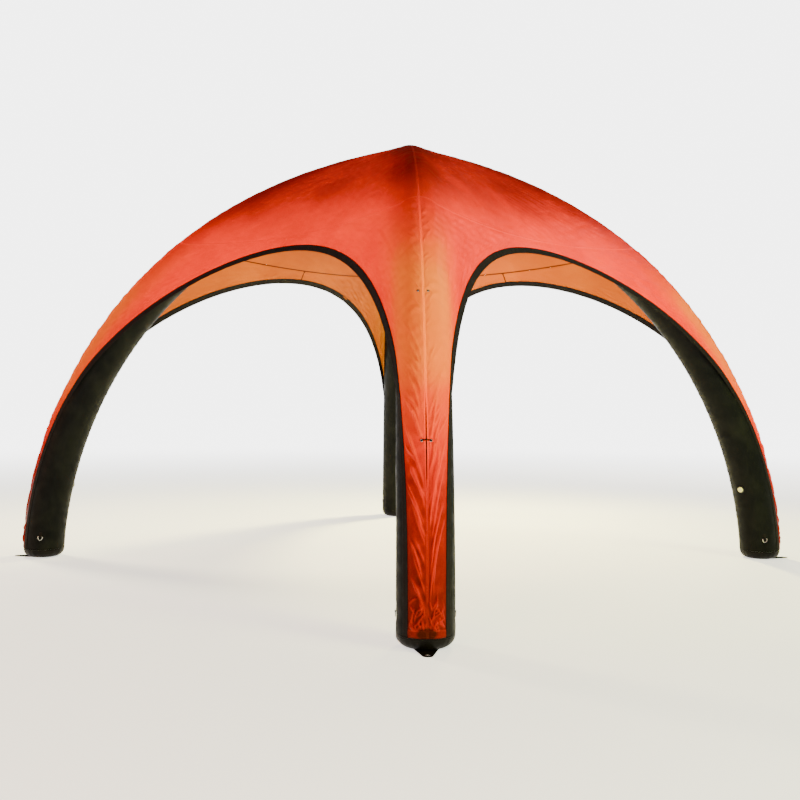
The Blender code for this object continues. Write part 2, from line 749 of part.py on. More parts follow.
def make_valve_cap(leg, frame, material):
    """Cup-shaped cap over the valve's collar."""
    collar, rim = valve_levels()[3:]
    base = collar + GAP
    ceiling = rim + GAP
    roof = ceiling + VALVE_CAP_WALL
    bore = VALVE_COLLAR_RADIUS + VALVE_CAP_CLEARANCE
    chamfer = VALVE_CAP_WALL / 2
    profile = [
        (0.0, ceiling), (bore, ceiling), (bore, base), (VALVE_CAP_RADIUS, base),
        (VALVE_CAP_RADIUS, roof - chamfer), (VALVE_CAP_RADIUS - chamfer, roof), (0.0, roof),
    ]
    return turned("valve_cap_" + leg, profile, frame, material, closed=False)




# Rings, tabs and peg tongues

RING_COLUMN = 4


def ring_bar_offset():
    """Distance of the ring's bar from the sleeve."""
    return GAP + TAB_THICKNESS + TAB_CLEARANCE + RING_WIRE_RADIUS


def ring_frame(leg, side):
    """Frame on the axis of a foot ring's bar."""
    frame = facet_frame(leg, side, RING_COLUMN, RING_HEIGHT, TUBE_RADIUS)
    return frame @ Matrix.Translation((0.0, ring_bar_offset(), 0.0))


def sweep(solid, path, cross_axis, radius, sides):
    """Closed round wire along a flat path whose plane is square to the cross axis."""
    path = np.array(path)
    along = np.roll(path, -1, axis=0) - np.roll(path, 1, axis=0)
    along /= np.linalg.norm(along, axis=1)[:, None]
    second = np.cross(along, cross_axis)
    rings = []
    for i in range(sides):
        turn = 2 * math.pi * i / sides
        rings.append(path + radius * (math.cos(turn) * cross_axis + math.sin(turn) * second))
    grid = solid.add(np.array(rings).transpose(1, 0, 2))
    grid = np.hstack([grid, grid[:, :1]])
    solid.sheet(np.vstack([grid, grid[:1]]))


def make_ring(leg, side, label, material):
    """D-shaped wire ring, hanging from its straight bar."""
    half = RING_WIDTH / 2 - RING_WIRE_RADIUS
    drop = RING_DROP - RING_WIRE_RADIUS
    bar = half * RING_BAR_SHARE
    path = [(-bar, 0.0, 0.0), (bar, 0.0, 0.0)]
    for i in range(BEND_STEPS + 1):
        turn = math.pi * i / BEND_STEPS
        path.append((half * math.cos(turn), 0.0, -drop * max(math.sin(turn), 0.0)))
    solid = Solid()
    sweep(solid, path, np.array([0.0, 1.0, 0.0]), RING_WIRE_RADIUS, WIRE_SIDES)
    return solid.build(f"foot_ring_{leg}_{label}", material, ring_frame(leg, side))


def make_ring_tab(leg, side, label, material):
    """Webbing tab that holds a ring: flat on the sleeve, then folded round the ring's bar."""
    bend = RING_WIRE_RADIUS + TAB_CLEARANCE + TAB_THICKNESS / 2
    turns = [math.pi + TAB_TURN * i / BEND_STEPS for i in range(BEND_STEPS + 1)]
    path = [(-bend, TAB_LENGTH)] + [(bend * math.cos(a), bend * math.sin(a)) for a in turns]
    path = np.array(path)
    along = np.gradient(path, axis=0)
    along /= np.linalg.norm(along, axis=1)[:, None]
    off = np.stack([-along[:, 1], along[:, 0]], axis=-1) * TAB_THICKNESS / 2
    lines = []
    for x, hand in ((-1, -1), (1, -1), (1, 1), (-1, 1)):
        line = path + hand * off
        lines.append(np.column_stack([np.full(len(line), x * TAB_WIDTH / 2), line]))
    solid = Solid()
    grid = solid.add(np.stack(lines, axis=1))
    solid.sheet(np.hstack([grid, grid[:, :1]]))
    solid.fan(grid[0], flip=True)
    solid.fan(grid[-1])
    return solid.build(f"ring_tab_{leg}_{label}", material, ring_frame(leg, side))



def tongue_start():
    """Distance from the foot's centre where the dome is just above the tongue."""
    radius, height = cap_ring(1, 0.0)
    share = (TONGUE_THICKNESS + GAP) / height
    return CAP_FLAT_RADIUS + (radius - CAP_FLAT_RADIUS) * share


def make_tongue(leg, material):
    """Peg tongue that lies on the ground, pointing away from the middle of the tent."""
    middle = TONGUE_REACH - TONGUE_TIP_RADIUS
    facet = 2 * math.pi / RING_SIDES
    apothem = tongue_start() * math.cos(facet / 2)
    half = math.asin(TONGUE_ROOT_WIDTH / 2 / tongue_start())
    inside = [facet * i for i in range(int(half / facet), -int(half / facet) - 1, -1)]
    outline = []
    for turn in [half] + inside + [-half]:
        reach = apothem / math.cos(abs(turn) % facet - facet / 2)
        outline.append((reach * math.cos(turn), reach * math.sin(turn)))
    for i in range(TIP_STEPS + 1):
        turn = TONGUE_TIP_TURN * (2 * i / TIP_STEPS - 1)
        outline.append((middle + TONGUE_TIP_RADIUS * math.cos(turn),
                        TONGUE_TIP_RADIUS * math.sin(turn)))
    solid = Solid()
    rows = [[(x, y, z) for x, y in outline] for z in (0.0, TONGUE_THICKNESS)]
    grid = solid.add(np.array(rows))
    solid.sheet(np.hstack([grid, grid[:, :1]]))
    solid.fan(grid[0], flip=True)
    solid.fan(grid[1])
    frame = foot_frame(leg)
    tongue = solid.build("peg_tongue_" + leg, material, frame)
    cut(tongue, frame @ Matrix.Translation((middle, 0.0, 0.0)), PEG_HOLE_RADIUS,
        4 * TONGUE_THICKNESS)
    return tongue


def foot_frame(leg):
    """Frame on the ground at a foot's centre, with X pointing outwards."""
    angle = math.radians(LEGS[leg])
    place = leg_to_world(np.array([FOOT_RADIUS, 0.0, 0.0]), leg)
    return Matrix.Translation(place) @ Matrix.Rotation(angle, 4, "Z")







def main():
    """Builds every piece of the tent."""
    for thing in list(bpy.data.objects):
        bpy.data.objects.remove(thing, do_unlink=True)
    black = make_material("black_sleeve_cloth", (0.012, 0.013, 0.012), 0.72)
    coated = make_material("black_coated_cloth", (0.010, 0.010, 0.010), 0.55)
    clear = make_material("clear_film", (0.62, 0.66, 0.66), 0.25)
    orange = make_material("orange_roof_cloth", (0.78, 0.115, 0.035), 0.62)
    webbing = make_material("black_webbing", (0.016, 0.015, 0.016), 0.8)
    cap_plastic = make_material("pale_yellow_plastic", (0.66, 0.64, 0.22), 0.4)
    body_plastic = make_material("black_plastic", (0.015, 0.015, 0.015), 0.45)
    steel = make_material("bright_steel", (0.62, 0.62, 0.60), 0.28, 1.0)

    for leg in LEGS:
        valve_frame = upright(facet_frame(leg, -1, VALVE_COLUMN, VALVE_HEIGHT, TUBE_RADIUS))
        sleeve = make_sleeve(leg, black)
        bladder = make_bladder(leg, clear)
        depth = 4 * (SLEEVE_WALL + BLADDER_WALL + GAP)
        for wall in (sleeve, bladder):
            cut(wall, valve_frame, VALVE_NECK_RADIUS + VALVE_HOLE_CLEARANCE, depth)
        make_foot_cap(leg, coated)
        make_valve_body(leg, valve_frame, body_plastic)
        make_valve_cap(leg, valve_frame, cap_plastic)
        make_valve_pin(leg, valve_frame, steel)
        for side, label in ((1, "left"), (-1, "right")):
            make_ring(leg, side, label, steel)
            make_ring_tab(leg, side, label, webbing)
        make_tongue(leg, webbing)
    for side_name, (_, right_leg, left_leg) in SIDES.items():
        make_top(side_name, orange)
        make_strip(side_name, left_leg, 1, orange)
        make_strip(side_name, right_leg, -1, orange)
        make_binding(side_name, webbing)


main()
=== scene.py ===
"""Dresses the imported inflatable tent: cloth roof, air legs, webbing, rings and valves."""

import logging
import math
from dataclasses import dataclass, field
from enum import Enum
from typing import Callable, Iterable, Sequence

import bpy
import numpy as np
from mathutils import Matrix


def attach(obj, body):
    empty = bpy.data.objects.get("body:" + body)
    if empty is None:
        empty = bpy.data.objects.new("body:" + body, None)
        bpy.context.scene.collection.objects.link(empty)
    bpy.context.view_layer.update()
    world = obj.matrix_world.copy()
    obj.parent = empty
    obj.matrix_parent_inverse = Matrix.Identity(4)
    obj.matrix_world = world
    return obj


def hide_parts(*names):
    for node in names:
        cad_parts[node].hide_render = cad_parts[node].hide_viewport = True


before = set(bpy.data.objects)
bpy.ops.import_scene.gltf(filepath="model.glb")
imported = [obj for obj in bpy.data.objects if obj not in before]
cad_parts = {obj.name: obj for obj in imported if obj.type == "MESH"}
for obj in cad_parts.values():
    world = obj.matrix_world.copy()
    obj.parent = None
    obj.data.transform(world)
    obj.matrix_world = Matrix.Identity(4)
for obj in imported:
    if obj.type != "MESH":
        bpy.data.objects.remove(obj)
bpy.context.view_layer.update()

LOG = logging.getLogger("tent")
Colour = tuple[float, float, float, float]
Socket = bpy.types.NodeSocket
Links = Sequence[object] | dict[str | int, object]
SMOOTHLY = {"interpolation_type": "SMOOTHSTEP"}

# Direction of each leg from the middle, in degrees.
LEGS = {"southeast": -45.0, "northeast": 45.0, "northwest": 135.0, "southwest": 225.0}
# Direction of each side, and the legs at its two ends.
SIDES = {
    "south": (-90.0, "southwest", "southeast"),
    "east": (0.0, "southeast", "northeast"),
    "north": (90.0, "northeast", "northwest"),
    "west": (180.0, "northwest", "southwest"),
}
BODY = "tent"
MM = 0.001
# Room that touching meshes keep.
GAP = 0.0003
# Distance to a seam or an edge where there is none near.
FAR = 9.0
# Steps that settle a crossing to well below a micrometre.
HALVINGS = 50


class Held(Enum):
    """How a sheet of cloth is held."""

    STRETCHED = "stretched"


class Slot(Enum):
    """Material slots."""

    ROOF = "roof_cloth"
    SLEEVE = "sleeve_cloth"
    FOOT = "foot_cloth"
    FILM = "air_film"
    WEBBING = "webbing"
    BLACK = "valve_black"
    YELLOW = "valve_yellow"
    STEEL = "steel"


def smooth(value: np.ndarray, low: float, high: float) -> np.ndarray:
    """Rises smoothly from 0 at low to 1 at high."""
    share = np.clip((np.asarray(value, float) - low) / (high - low), 0.0, 1.0)
    return share * share * (3 - 2 * share)


def unit(vectors: np.ndarray) -> np.ndarray:
    """The same vectors at length one."""
    length = np.linalg.norm(vectors, axis=-1, keepdims=True)
    return vectors / np.maximum(length, 1e-12)


def running(points: np.ndarray) -> np.ndarray:
    """Distance along a line of points from its first one."""
    steps = np.linalg.norm(np.diff(points, axis=0), axis=1)
    return np.concatenate([[0.0], np.cumsum(steps)])


def running_rows(points: np.ndarray) -> np.ndarray:
    """Distance along each row of a grid of points from the row's first one."""
    steps = np.diff(points, axis=1, prepend=points[:, :1])
    return np.cumsum(np.linalg.norm(steps, axis=2), axis=1)


def solve(function: Callable, low: np.ndarray, high: np.ndarray) -> np.ndarray:
    """Finds where a rising function crosses zero, by halving.

    Args:
        function: takes an array and gives an array of the same length.
        low: start of each bracket.
        high: end of each bracket.

    Returns:
        The crossing of each bracket.
    """
    low, high = np.array(low, float), np.array(high, float)
    for _ in range(HALVINGS):
        middle = (low + high) / 2
        under = function(middle) < 0
        low = np.where(under, middle, low)
        high = np.where(under, high, middle)
    return (low + high) / 2


def swell(points: np.ndarray, wavelength: float, seed: int, count: int = 14) -> np.ndarray:
    """Smooth random swell of about -1 to 1: cosine waves in random directions.

    Args:
        points: positions, last axis of 2 or 3.
        wavelength: middle wavelength in metres.
        seed: seed of the directions and phases.
        count: number of waves.

    Returns:
        One value for each position.
    """
    rng = np.random.default_rng(seed)
    waves = unit(rng.normal(size=(count, points.shape[-1])))
    waves *= 2 * math.pi / wavelength * rng.uniform(0.6, 1.6, (count, 1))
    phase = rng.uniform(0, 2 * math.pi, count)
    return np.cos(points @ waves.T + phase).sum(axis=-1) / math.sqrt(count)


def draws(rng: np.random.Generator, count: int,
          ranges: Sequence[tuple[float, float]]) -> np.ndarray:
    """Rows of random values, drawn row by row with one value from each range.

    Args:
        rng: the generator.
        count: number of rows.
        ranges: lowest and highest value of each column.

    Returns:
        Array of rows and columns.
    """
    low, high = np.array(ranges).T
    return rng.uniform(low, high, (count, len(low)))


def leg_to_world(points: np.ndarray, leg: str, side: int = 1) -> np.ndarray:
    """Turns points of a leg's upright plane into world points.

    Args:
        points: (rho, lam, z): distance from the middle, distance off the plane, and height.
        leg: the leg.
        side: 1, or -1 for the mirrored side of the plane.

    Returns:
        World points.
    """
    angle = math.radians(LEGS[leg])
    rho, lam = points[..., 0], side * points[..., 1]
    return np.stack([rho * math.cos(angle) - lam * math.sin(angle),
                     rho * math.sin(angle) + lam * math.cos(angle), points[..., 2]], axis=-1)


def panel_to_world(points: np.ndarray, side: str, hand: int) -> np.ndarray:
    """Turns points of half a roof side into world points.

    Args:
        points: (across, outward, z), with across measured from the side's middle.
        side: the side.
        hand: 1 for its second leg's half, -1 for its first leg's half.

    Returns:
        World points.
    """
    angle = math.radians(SIDES[side][0])
    x, y = points[..., 0] * hand, points[..., 1]
    return np.stack([y * math.cos(angle) - x * math.sin(angle),
                     y * math.sin(angle) + x * math.cos(angle), points[..., 2]], axis=-1)


@dataclass
class LegCurve:
    """Centreline of a leg: one cubic curve in an upright diagonal plane.

    The curve starts plumb at the foot and ends at the crown at a small slope.
    """

    foot_spacing: float = 4.0
    crown_height: float = 3.083
    crown_slope: float = 10.0
    upright_reach: float = 0.64
    crown_reach: float = 2.48
    radius: float = 0.150
    crown_zone: float = 0.6
    samples: int = 4001
    runs: np.ndarray = field(init=False)
    values: np.ndarray = field(init=False)

    def __post_init__(self) -> None:
        """Tabulates place and slope by running length."""
        slope = math.radians(self.crown_slope)
        foot = np.array([self.foot_spacing / math.sqrt(2), 0.0])
        crown = np.array([0.0, self.crown_height])
        handle = np.array([math.cos(slope), -math.sin(slope)])
        control = [foot, foot + self.upright_reach * np.array([0.0, 1.0]),
                   crown + self.crown_reach * handle, crown]
        t = np.linspace(0.0, 1.0, self.samples)[:, None]
        line = ((1 - t) ** 3 * control[0] + 3 * (1 - t) ** 2 * t * control[1]
                + 3 * (1 - t) * t ** 2 * control[2] + t ** 3 * control[3])
        slopes = (3 * (1 - t) ** 2 * (control[1] - control[0])
                  + 6 * (1 - t) * t * (control[2] - control[1])
                  + 3 * t ** 2 * (control[3] - control[2]))
        self.runs = running(line)
        self.values = np.hstack([line, unit(slopes)])

    @property
    def length(self) -> float:
        """Length of the curve from the ground to the crown."""
        return float(self.runs[-1])

    def at(self, run: np.ndarray) -> tuple[np.ndarray, ...]:
        """Looks up the curve, which goes straight on past the crown.

        Args:
            run: running length from the ground.

        Returns:
            Rho, z and the outward normal's rho and z.
        """
        run = np.asarray(run, float)
        rho, z, along_rho, along_z = (np.interp(run, self.runs, v) for v in self.values.T)
        past = np.maximum(run - self.length, 0.0)
        return rho + past * along_rho, z + past * along_z, along_z, -along_rho

    def tube(self, run: np.ndarray, angle: np.ndarray, radius: float) -> np.ndarray:
        """Points of a tube round the curve: its place, and a circle square to it.

        Args:
            run: running length.
            angle: angle round the tube from its outward side.
            radius: distance from the curve.

        Returns:
            Points (rho, lam, z).
        """
        rho, z, normal_rho, normal_z = self.at(run)
        return np.stack([rho + radius * np.cos(angle) * normal_rho,
                         radius * np.sin(angle) + 0 * rho,
                         z + radius * np.cos(angle) * normal_z], axis=-1)

    def level_run(self, angle: np.ndarray, radius: float, height: float) -> np.ndarray:
        """Running length at which each angle of the tube has a height near the foot."""
        low = np.zeros(len(angle))
        return solve(lambda run: self.tube(run, angle, radius)[:, 2] - height, low, low + 1.0)

    def mitre_run(self, angle: np.ndarray, radius: float, offset: float) -> np.ndarray:
        """Running length at which each angle of the tube meets the joint at the crown.

        Args:
            angle: angles round the tube.
            radius: distance from the curve.
            offset: distance that the tube stays off the neighbouring leg's.

        Returns:
            One running length for each angle.
        """
        def past(run: np.ndarray) -> np.ndarray:
            point = self.tube(run, angle, radius)
            return np.abs(point[:, 1]) + offset - point[:, 0]
        low = np.full(len(angle), self.length - self.crown_zone)
        return solve(past, low, low + self.crown_zone + radius)


@dataclass
class RoofShape:
    """The roof's surface over the legs, by running length and place across.

    Across is 0 on a ridge, 1 where the cloth leaves the tube and 2 at the middle of a side.
    """

    leg: LegCurve
    skin: float = 0.0012
    panel_sag: float = 0.32
    arch_centre: float = 0.50
    arch_crown: float = 2.28
    arch_lift: float = 1.25
    seam_rise: float = 0.085
    hem_height: float = 0.069
    hem_angle: float = math.radians(39.0)
    flare: int = 3
    span_steps: int = 8
    cover_low: float = 0.003
    cover_more: float = 0.013
    cover_rise: float = 0.35
    edge_rows: tuple[int, int] = (190, 220)
    table_rows: int = 1501
    rounds: int = 40
    table: tuple = field(init=False)
    lift_run: float = field(init=False)
    seam_run: float = field(init=False)
    lift_angle: float = field(init=False)

    def __post_init__(self) -> None:
        """Tabulates the contact line and finds the lift-off and the level seam."""
        runs = np.linspace(0.0, self.leg.length + 2 * self.leg.radius, self.table_rows)
        self.table = (runs, self._contact(runs))
        top = [self.leg.length]
        self.lift_run = float(solve(lambda r: self._touch(r) - self.arch_lift, [0.0], top)[0])
        seam = self.arch_crown + self.seam_rise
        self.seam_run = float(solve(lambda r: self._middle(r) - seam, [0.0], top)[0])
        self.lift_angle = float(self.contact(np.array([self.lift_run]))[0][0])

    @property
    def inner(self) -> float:
        """Distance of the cloth's underside from the leg's centreline."""
        return self.leg.radius + GAP

    @property
    def outer(self) -> float:
        """Distance of the cloth's face from the leg's centreline."""
        return self.inner + self.skin

    def _contact(self, run: np.ndarray) -> tuple[np.ndarray, ...]:
        """Works out how the cloth spans between two mirrored legs.

        The sag grows with the square of the width, the cloth leaves the tube along the sag's
        end slope, and the width is where it leaves; a few rounds settle the three.

        Args:
            run: running length.

        Returns:
            Contact angle, half width of the span and its sag.
        """
        rho, _, normal_rho, _ = self.leg.at(run)
        straight = np.arctan(normal_rho)
        grip = np.sqrt(1 + normal_rho ** 2) / math.sqrt(2)
        width = np.maximum(rho, 0.0) / math.sqrt(2)
        angle, sag = straight, width * 0
        for _ in range(self.rounds):
            sag = self.panel_sag * (2 * width / self.leg.foot_spacing) ** 2
            slope = np.divide(2 * sag, width, out=np.zeros_like(width), where=width > 1e-5)
            angle = straight + np.arctan(slope / grip)
            reach = self.inner * (np.cos(angle) * normal_rho - np.sin(angle))
            width = np.maximum((rho + reach) / math.sqrt(2), 0.0)
        return angle, width, sag

    def contact(self, run: np.ndarray) -> tuple[np.ndarray, ...]:
        """Contact angle, half width of the span and its sag, looked up."""
        return tuple(np.interp(run, self.table[0], v) for v in self.table[1])

    def _touch(self, run: np.ndarray) -> np.ndarray:
        """Height of the line where the cloth leaves the tube."""
        _, z, _, normal_z = self.leg.at(run)
        return z + self.inner * np.cos(self.contact(run)[0]) * normal_z

    def _middle(self, run: np.ndarray) -> np.ndarray:
        """Height of the middle of the span between two mirrored legs."""
        _, _, normal_rho, normal_z = self.leg.at(run)
        return self._touch(run) - self.contact(run)[2] * np.cos(np.arctan(normal_rho)) * normal_z

    def cover(self, past: np.ndarray) -> np.ndarray:
        """How far the webbing lies on the cloth, by distance up the arch from the lift-off."""
        return self.cover_low + self.cover_more * smooth(past, 0.0, self.cover_rise)

    def arch_line(self) -> tuple[np.ndarray, ...]:
        """Half an arch's edge, from the hem up the leg and over to the middle of the side.

        Returns:
            Points, running lengths, across values and distances past the lift-off.
        """
        start = self.leg.level_run(np.array([self.hem_angle]), self.inner, self.hem_height)
        low = np.linspace(float(start[0]), self.lift_run, self.edge_rows[0])[:-1]
        step = np.linspace(0.0, self.span_steps - 1, self.edge_rows[1])
        edge_run, edge_across = self.far_edge(step)
        run = np.concatenate([low, edge_run])
        across = np.concatenate([np.ones(len(low)), edge_across])
        edge = self.point(run, across, self.inner)
        past = running(edge)
        return edge, run, across, np.maximum(past - past[len(low)], 0.0)

    def off_webbing(self, points: np.ndarray) -> np.ndarray:
        """Distance from points to the webbing that lies on the cloth.

        Args:
            points: points of half a side.

        Returns:
            Distance to the nearest point of the arch's edge, less the webbing's cover there.
        """
        edge, _, _, past = self.arch_line()
        flat = points.reshape(-1, 3)
        square = (flat ** 2).sum(axis=1)[:, None] + (edge ** 2).sum(axis=1) - 2 * flat @ edge.T
        nearest = square.argmin(axis=1)
        away = np.sqrt(np.maximum(square[np.arange(len(flat)), nearest], 0.0))
        return (away - self.cover(past[nearest])).reshape(points.shape[:-1])

    def wrap(self, run: np.ndarray) -> np.ndarray:
        """Angle round the tube at which the cloth ends, or leaves it higher up.

        From the hem's angle it grows by the third power of the run up to the lift-off.

        Args:
            run: running length.

        Returns:
            Angles from the ridge.
        """
        share = np.clip(run / self.lift_run, 0.0, 1.0) ** self.flare
        strip = self.hem_angle + (self.lift_angle - self.hem_angle) * share
        return np.where(run < self.lift_run, strip, self.contact(run)[0])

    def point(self, run: np.ndarray, across: np.ndarray, radius: object) -> np.ndarray:
        """Points of half a side: round the tube first, then over a span that sags by a parabola.

        Args:
            run: running length.
            across: 0 on the ridge, 1 where the cloth leaves the tube, 2 at the middle.
            radius: distance from the leg's centreline.

        Returns:
            Points (across, outward, z) of the side.
        """
        _, _, normal_rho, normal_z = self.leg.at(run)
        turn = np.maximum(np.clip(across, 0.0, 1.0) * self.wrap(run), GAP / (2 * radius))
        point = self.leg.tube(run, turn, radius)
        out = np.clip(across - 1, 0.0, 1.0)
        drop = self.contact(run)[2] * (1 - (1 - out) ** 2)
        straight = np.arctan(normal_rho)
        root = math.sqrt(2)
        return np.stack([(point[..., 0] - point[..., 1]) / root * (1 - out),
                         (point[..., 0] + point[..., 1]) / root - root * np.sin(straight) * drop,
                         point[..., 2] - np.cos(straight) * normal_z * drop], axis=-1)

    def far_edge(self, step: np.ndarray) -> tuple[np.ndarray, np.ndarray]:
        """Run and across of a strip's far edge: the arch's ellipse, then the middle seam.

        Args:
            step: from 0 at the lift-off to 7 at the arch's crown and 8 at the level seam.

        Returns:
            Running lengths and across values.
        """
        last = self.span_steps - 1
        rise = self.arch_crown - self.arch_centre
        first = math.asin((self.arch_lift - self.arch_centre) / rise)
        lift_width = float(self.contact(np.array([self.lift_run]))[1][0])
        turn = first + (math.pi / 2 - first) * np.clip(step / last, 0.0, 1.0)
        x = lift_width / math.cos(first) * np.cos(turn)
        height = self.arch_centre + rise * np.sin(turn)
        low = np.full(len(step), self.lift_run)
        high = solve(lambda r: x - self.contact(r)[1], low, low * 0 + self.leg.length)

        def above(run: np.ndarray) -> np.ndarray:
            width = np.maximum(self.contact(run)[1], x)
            return self.point(run, 2 - x / width, self.inner)[:, 2] - height
        run = solve(above, low, high)
        across = 2 - x / np.maximum(self.contact(run)[1], x)
        run[0], across[0] = self.lift_run, 1.0
        share = np.clip(step - last, 0.0, 1.0)
        run = np.where(step > last, run + (self.seam_run - run) * share, run)
        return run, np.where(step >= last, 2.0, across)

    def crown_run(self, across: np.ndarray) -> np.ndarray:
        """Running length at which each column of a side meets the middle at the peak.

        Args:
            across: across values of the columns.

        Returns:
            One running length for each column.
        """
        def past(run: np.ndarray) -> np.ndarray:
            return -self.point(run, np.minimum(across, 1.0), self.outer)[:, 0]
        low = np.full(len(across), self.leg.length - self.leg.crown_zone)
        return solve(past, low, low + self.leg.crown_zone + self.leg.radius)


@dataclass
class Creases:
    """Soft ridges along short bowed lines in a cloth's own (side, run) coordinates, in metres.

    Across its line a ridge is a bell curve, and along it it fades to both ends. Turn is the
    line's angle from the run's direction, and a height below zero makes a groove.
    """

    side: np.ndarray
    run: np.ndarray
    turn: np.ndarray
    length: np.ndarray
    width: np.ndarray
    height: np.ndarray
    bow: np.ndarray

    def at(self, side: np.ndarray, run: np.ndarray) -> np.ndarray:
        """Height of the cloth at each place: the highest ridge less the deepest groove.

        Args:
            side: distance across the cloth.
            run: running length.

        Returns:
            Heights in metres.
        """
        shape = side.shape
        side, run = side.reshape(-1), run.reshape(-1)
        up, down = np.zeros(len(side)), np.zeros(len(side))
        for i in range(len(self.side)):
            x, y = side - self.side[i], run - self.run[i]
            near = np.abs(x) + np.abs(y) < 1.5 * (self.length[i] + 4 * self.width[i])
            x, y = x[near], y[near]
            along = y * math.cos(self.turn[i]) + x * math.sin(self.turn[i])
            off = x * math.cos(self.turn[i]) - y * math.sin(self.turn[i])
            off = off - self.bow[i] * along ** 2 / self.length[i]
            fade = np.clip(1 - (along / self.length[i]) ** 2, 0.0, 1.0) ** 1.5
            ridge = np.exp(-(off / self.width[i]) ** 2) * fade * abs(self.height[i])
            target = up if self.height[i] > 0 else down
            target[near] = np.maximum(target[near], ridge)
        return (up - down).reshape(shape)


class Skin:
    """One mesh made of grids of points, which are welded where they touch."""

    def __init__(self) -> None:
        """Starts empty."""
        self.points: list[np.ndarray] = []
        self.values: list[dict[str, np.ndarray]] = []
        self.faces: list[np.ndarray] = []
        self.slots: list[np.ndarray] = []
        self.count = 0

    def grid(self, points: np.ndarray, values: dict[str, np.ndarray] | None = None,
             slot: int = 0, flip: bool = False) -> None:
        """Adds a grid of points.

        Args:
            points: array of rows, columns and 3.
            values: fields on the points; u and v are the texture place in metres and lift is
                the distance that a point is moved out along the finished normal.
            slot: material slot of the faces.
            flip: turns the faces over.
        """
        rows, columns = points.shape[:2]
        index = np.arange(rows * columns).reshape(rows, columns) + self.count
        quads = np.stack([index[:-1, :-1], index[:-1, 1:], index[1:, 1:], index[1:, :-1]], -1)
        quads = quads.reshape(-1, 4)
        self.faces.append(quads[:, ::-1] if flip else quads)
        self.slots.append(np.full(len(quads), slot))
        self.points.append(points.reshape(-1, 3))
        self.values.append({k: np.broadcast_to(v, (rows, columns)).reshape(-1)
                            for k, v in (values or {}).items()})
        self.count += rows * columns

    def build(self, name: str, materials: Sequence[bpy.types.Material], body: str = BODY,
              inside: Sequence[float] | None = None, slot: Slot | None = None,
              replaces: Iterable[str] = ()) -> bpy.types.Object:
        """Makes the object, which rides on a body.

        Args:
            name: name of the piece.
            materials: its materials, in slot order.
            body: the body that it rides on.
            inside: a point that the faces look away from, or None to keep their sense.
            slot: not used.
            replaces: the nodes that it stands for.

        Returns:
            The object.
        """
        points = np.concatenate(self.points)
        faces = np.concatenate(self.faces)
        slots = np.concatenate(self.slots)
        rounded = np.round(points, 6) + 0.0
        _, first, place = np.unique(rounded, axis=0, return_index=True, return_inverse=True)
        faces = place.reshape(-1)[faces]
        sides = [tuple(dict.fromkeys(f)) for f in faces.tolist()]
        kept = [i for i, f in enumerate(sides) if len(f) > 2]
        mesh = bpy.data.meshes.new(name)
        mesh.from_pydata(points[first].tolist(), [], [sides[i] for i in kept])
        mesh.polygons.foreach_set("material_index", slots[kept].astype(np.int32))
        mesh.polygons.foreach_set("use_smooth", np.ones(len(kept), bool))
        if inside is not None:
            normals, centres = face_directions(mesh)
            if ((centres - np.array(inside)) * normals).sum() < 0:
                mesh.flip_normals()
        keys = sorted(set().union(*self.values))
        fields = {k: np.concatenate([v.get(k, np.zeros(len(p))) * np.ones(len(p))
                                     for v, p in zip(self.values, self.points)]) for k in keys}
        if "lift" in fields:
            normals = np.empty(3 * len(first))
            mesh.vertex_normals.foreach_get("vector", normals)
            moved = points[first] + normals.reshape(-1, 3) * fields.pop("lift")[first][:, None]
            mesh.vertices.foreach_set("co", moved.reshape(-1))
        if "u" in fields:
            loops = np.empty(len(mesh.loops), np.int32)
            mesh.loops.foreach_get("vertex_index", loops)
            uv = np.stack([fields.pop("u")[first], fields.pop("v")[first]], axis=-1)[loops]
            mesh.uv_layers.new(name="UVMap").data.foreach_set("uv", uv.reshape(-1))
        for key, value in fields.items():
            mesh.attributes.new(key, "FLOAT", "POINT").data.foreach_set("value", value[first])
        mesh.update()
        return place_object(name, mesh, materials, body, replaces)


def face_directions(mesh: bpy.types.Mesh) -> tuple[np.ndarray, np.ndarray]:
    """Reads which way the faces of a mesh look.

    Args:
        mesh: the mesh.

    Returns:
        Normals and centres of its faces.
    """
    normals = np.empty(3 * len(mesh.polygons))
    centres = np.empty(3 * len(mesh.polygons))
    mesh.polygons.foreach_get("normal", normals)
    mesh.polygons.foreach_get("center", centres)
    return normals.reshape(-1, 3), centres.reshape(-1, 3)


def place_object(name: str, data: bpy.types.ID, materials: Sequence[bpy.types.Material],
                 body: str, replaces: Iterable[str]) -> bpy.types.Object:
    """Puts a mesh or curve in the scene, parents it to its body's empty and hides the nodes it
    stands for.

    Args:
        name: name of the piece.
        data: its mesh or curve.
        materials: its materials, in slot order.
        body: the body that it rides on.
        replaces: the nodes that it stands for.

    Returns:
        The object.
    """
    thing = bpy.data.objects.new(name, data)
    for material in materials:
        data.materials.append(material)
    bpy.context.scene.collection.objects.link(thing)
    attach(thing, body)
    nodes = list(replaces)
    if nodes:
        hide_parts(*nodes)
    LOG.info("%s: %d points", name, len(getattr(data, "vertices", [])))
    return thing


def declare_sheet(thing: bpy.types.Object, width: float, length: float,
                  least_share: float = 0.32) -> None:
    """Works out the flat cloth's width from the piece's area, and keeps nothing.

    Args:
        thing: the piece.
        width: width of the flat cloth, which may grow or shrink to fit the piece's area.
        length: length of the flat cloth.
        least_share: least share of width times length that the piece's area fills.
    """
    areas = np.empty(len(thing.data.polygons))
    thing.data.polygons.foreach_get("area", areas)
    area = float(areas.sum())
    width = min(max(width, area / length), area / (least_share * length))


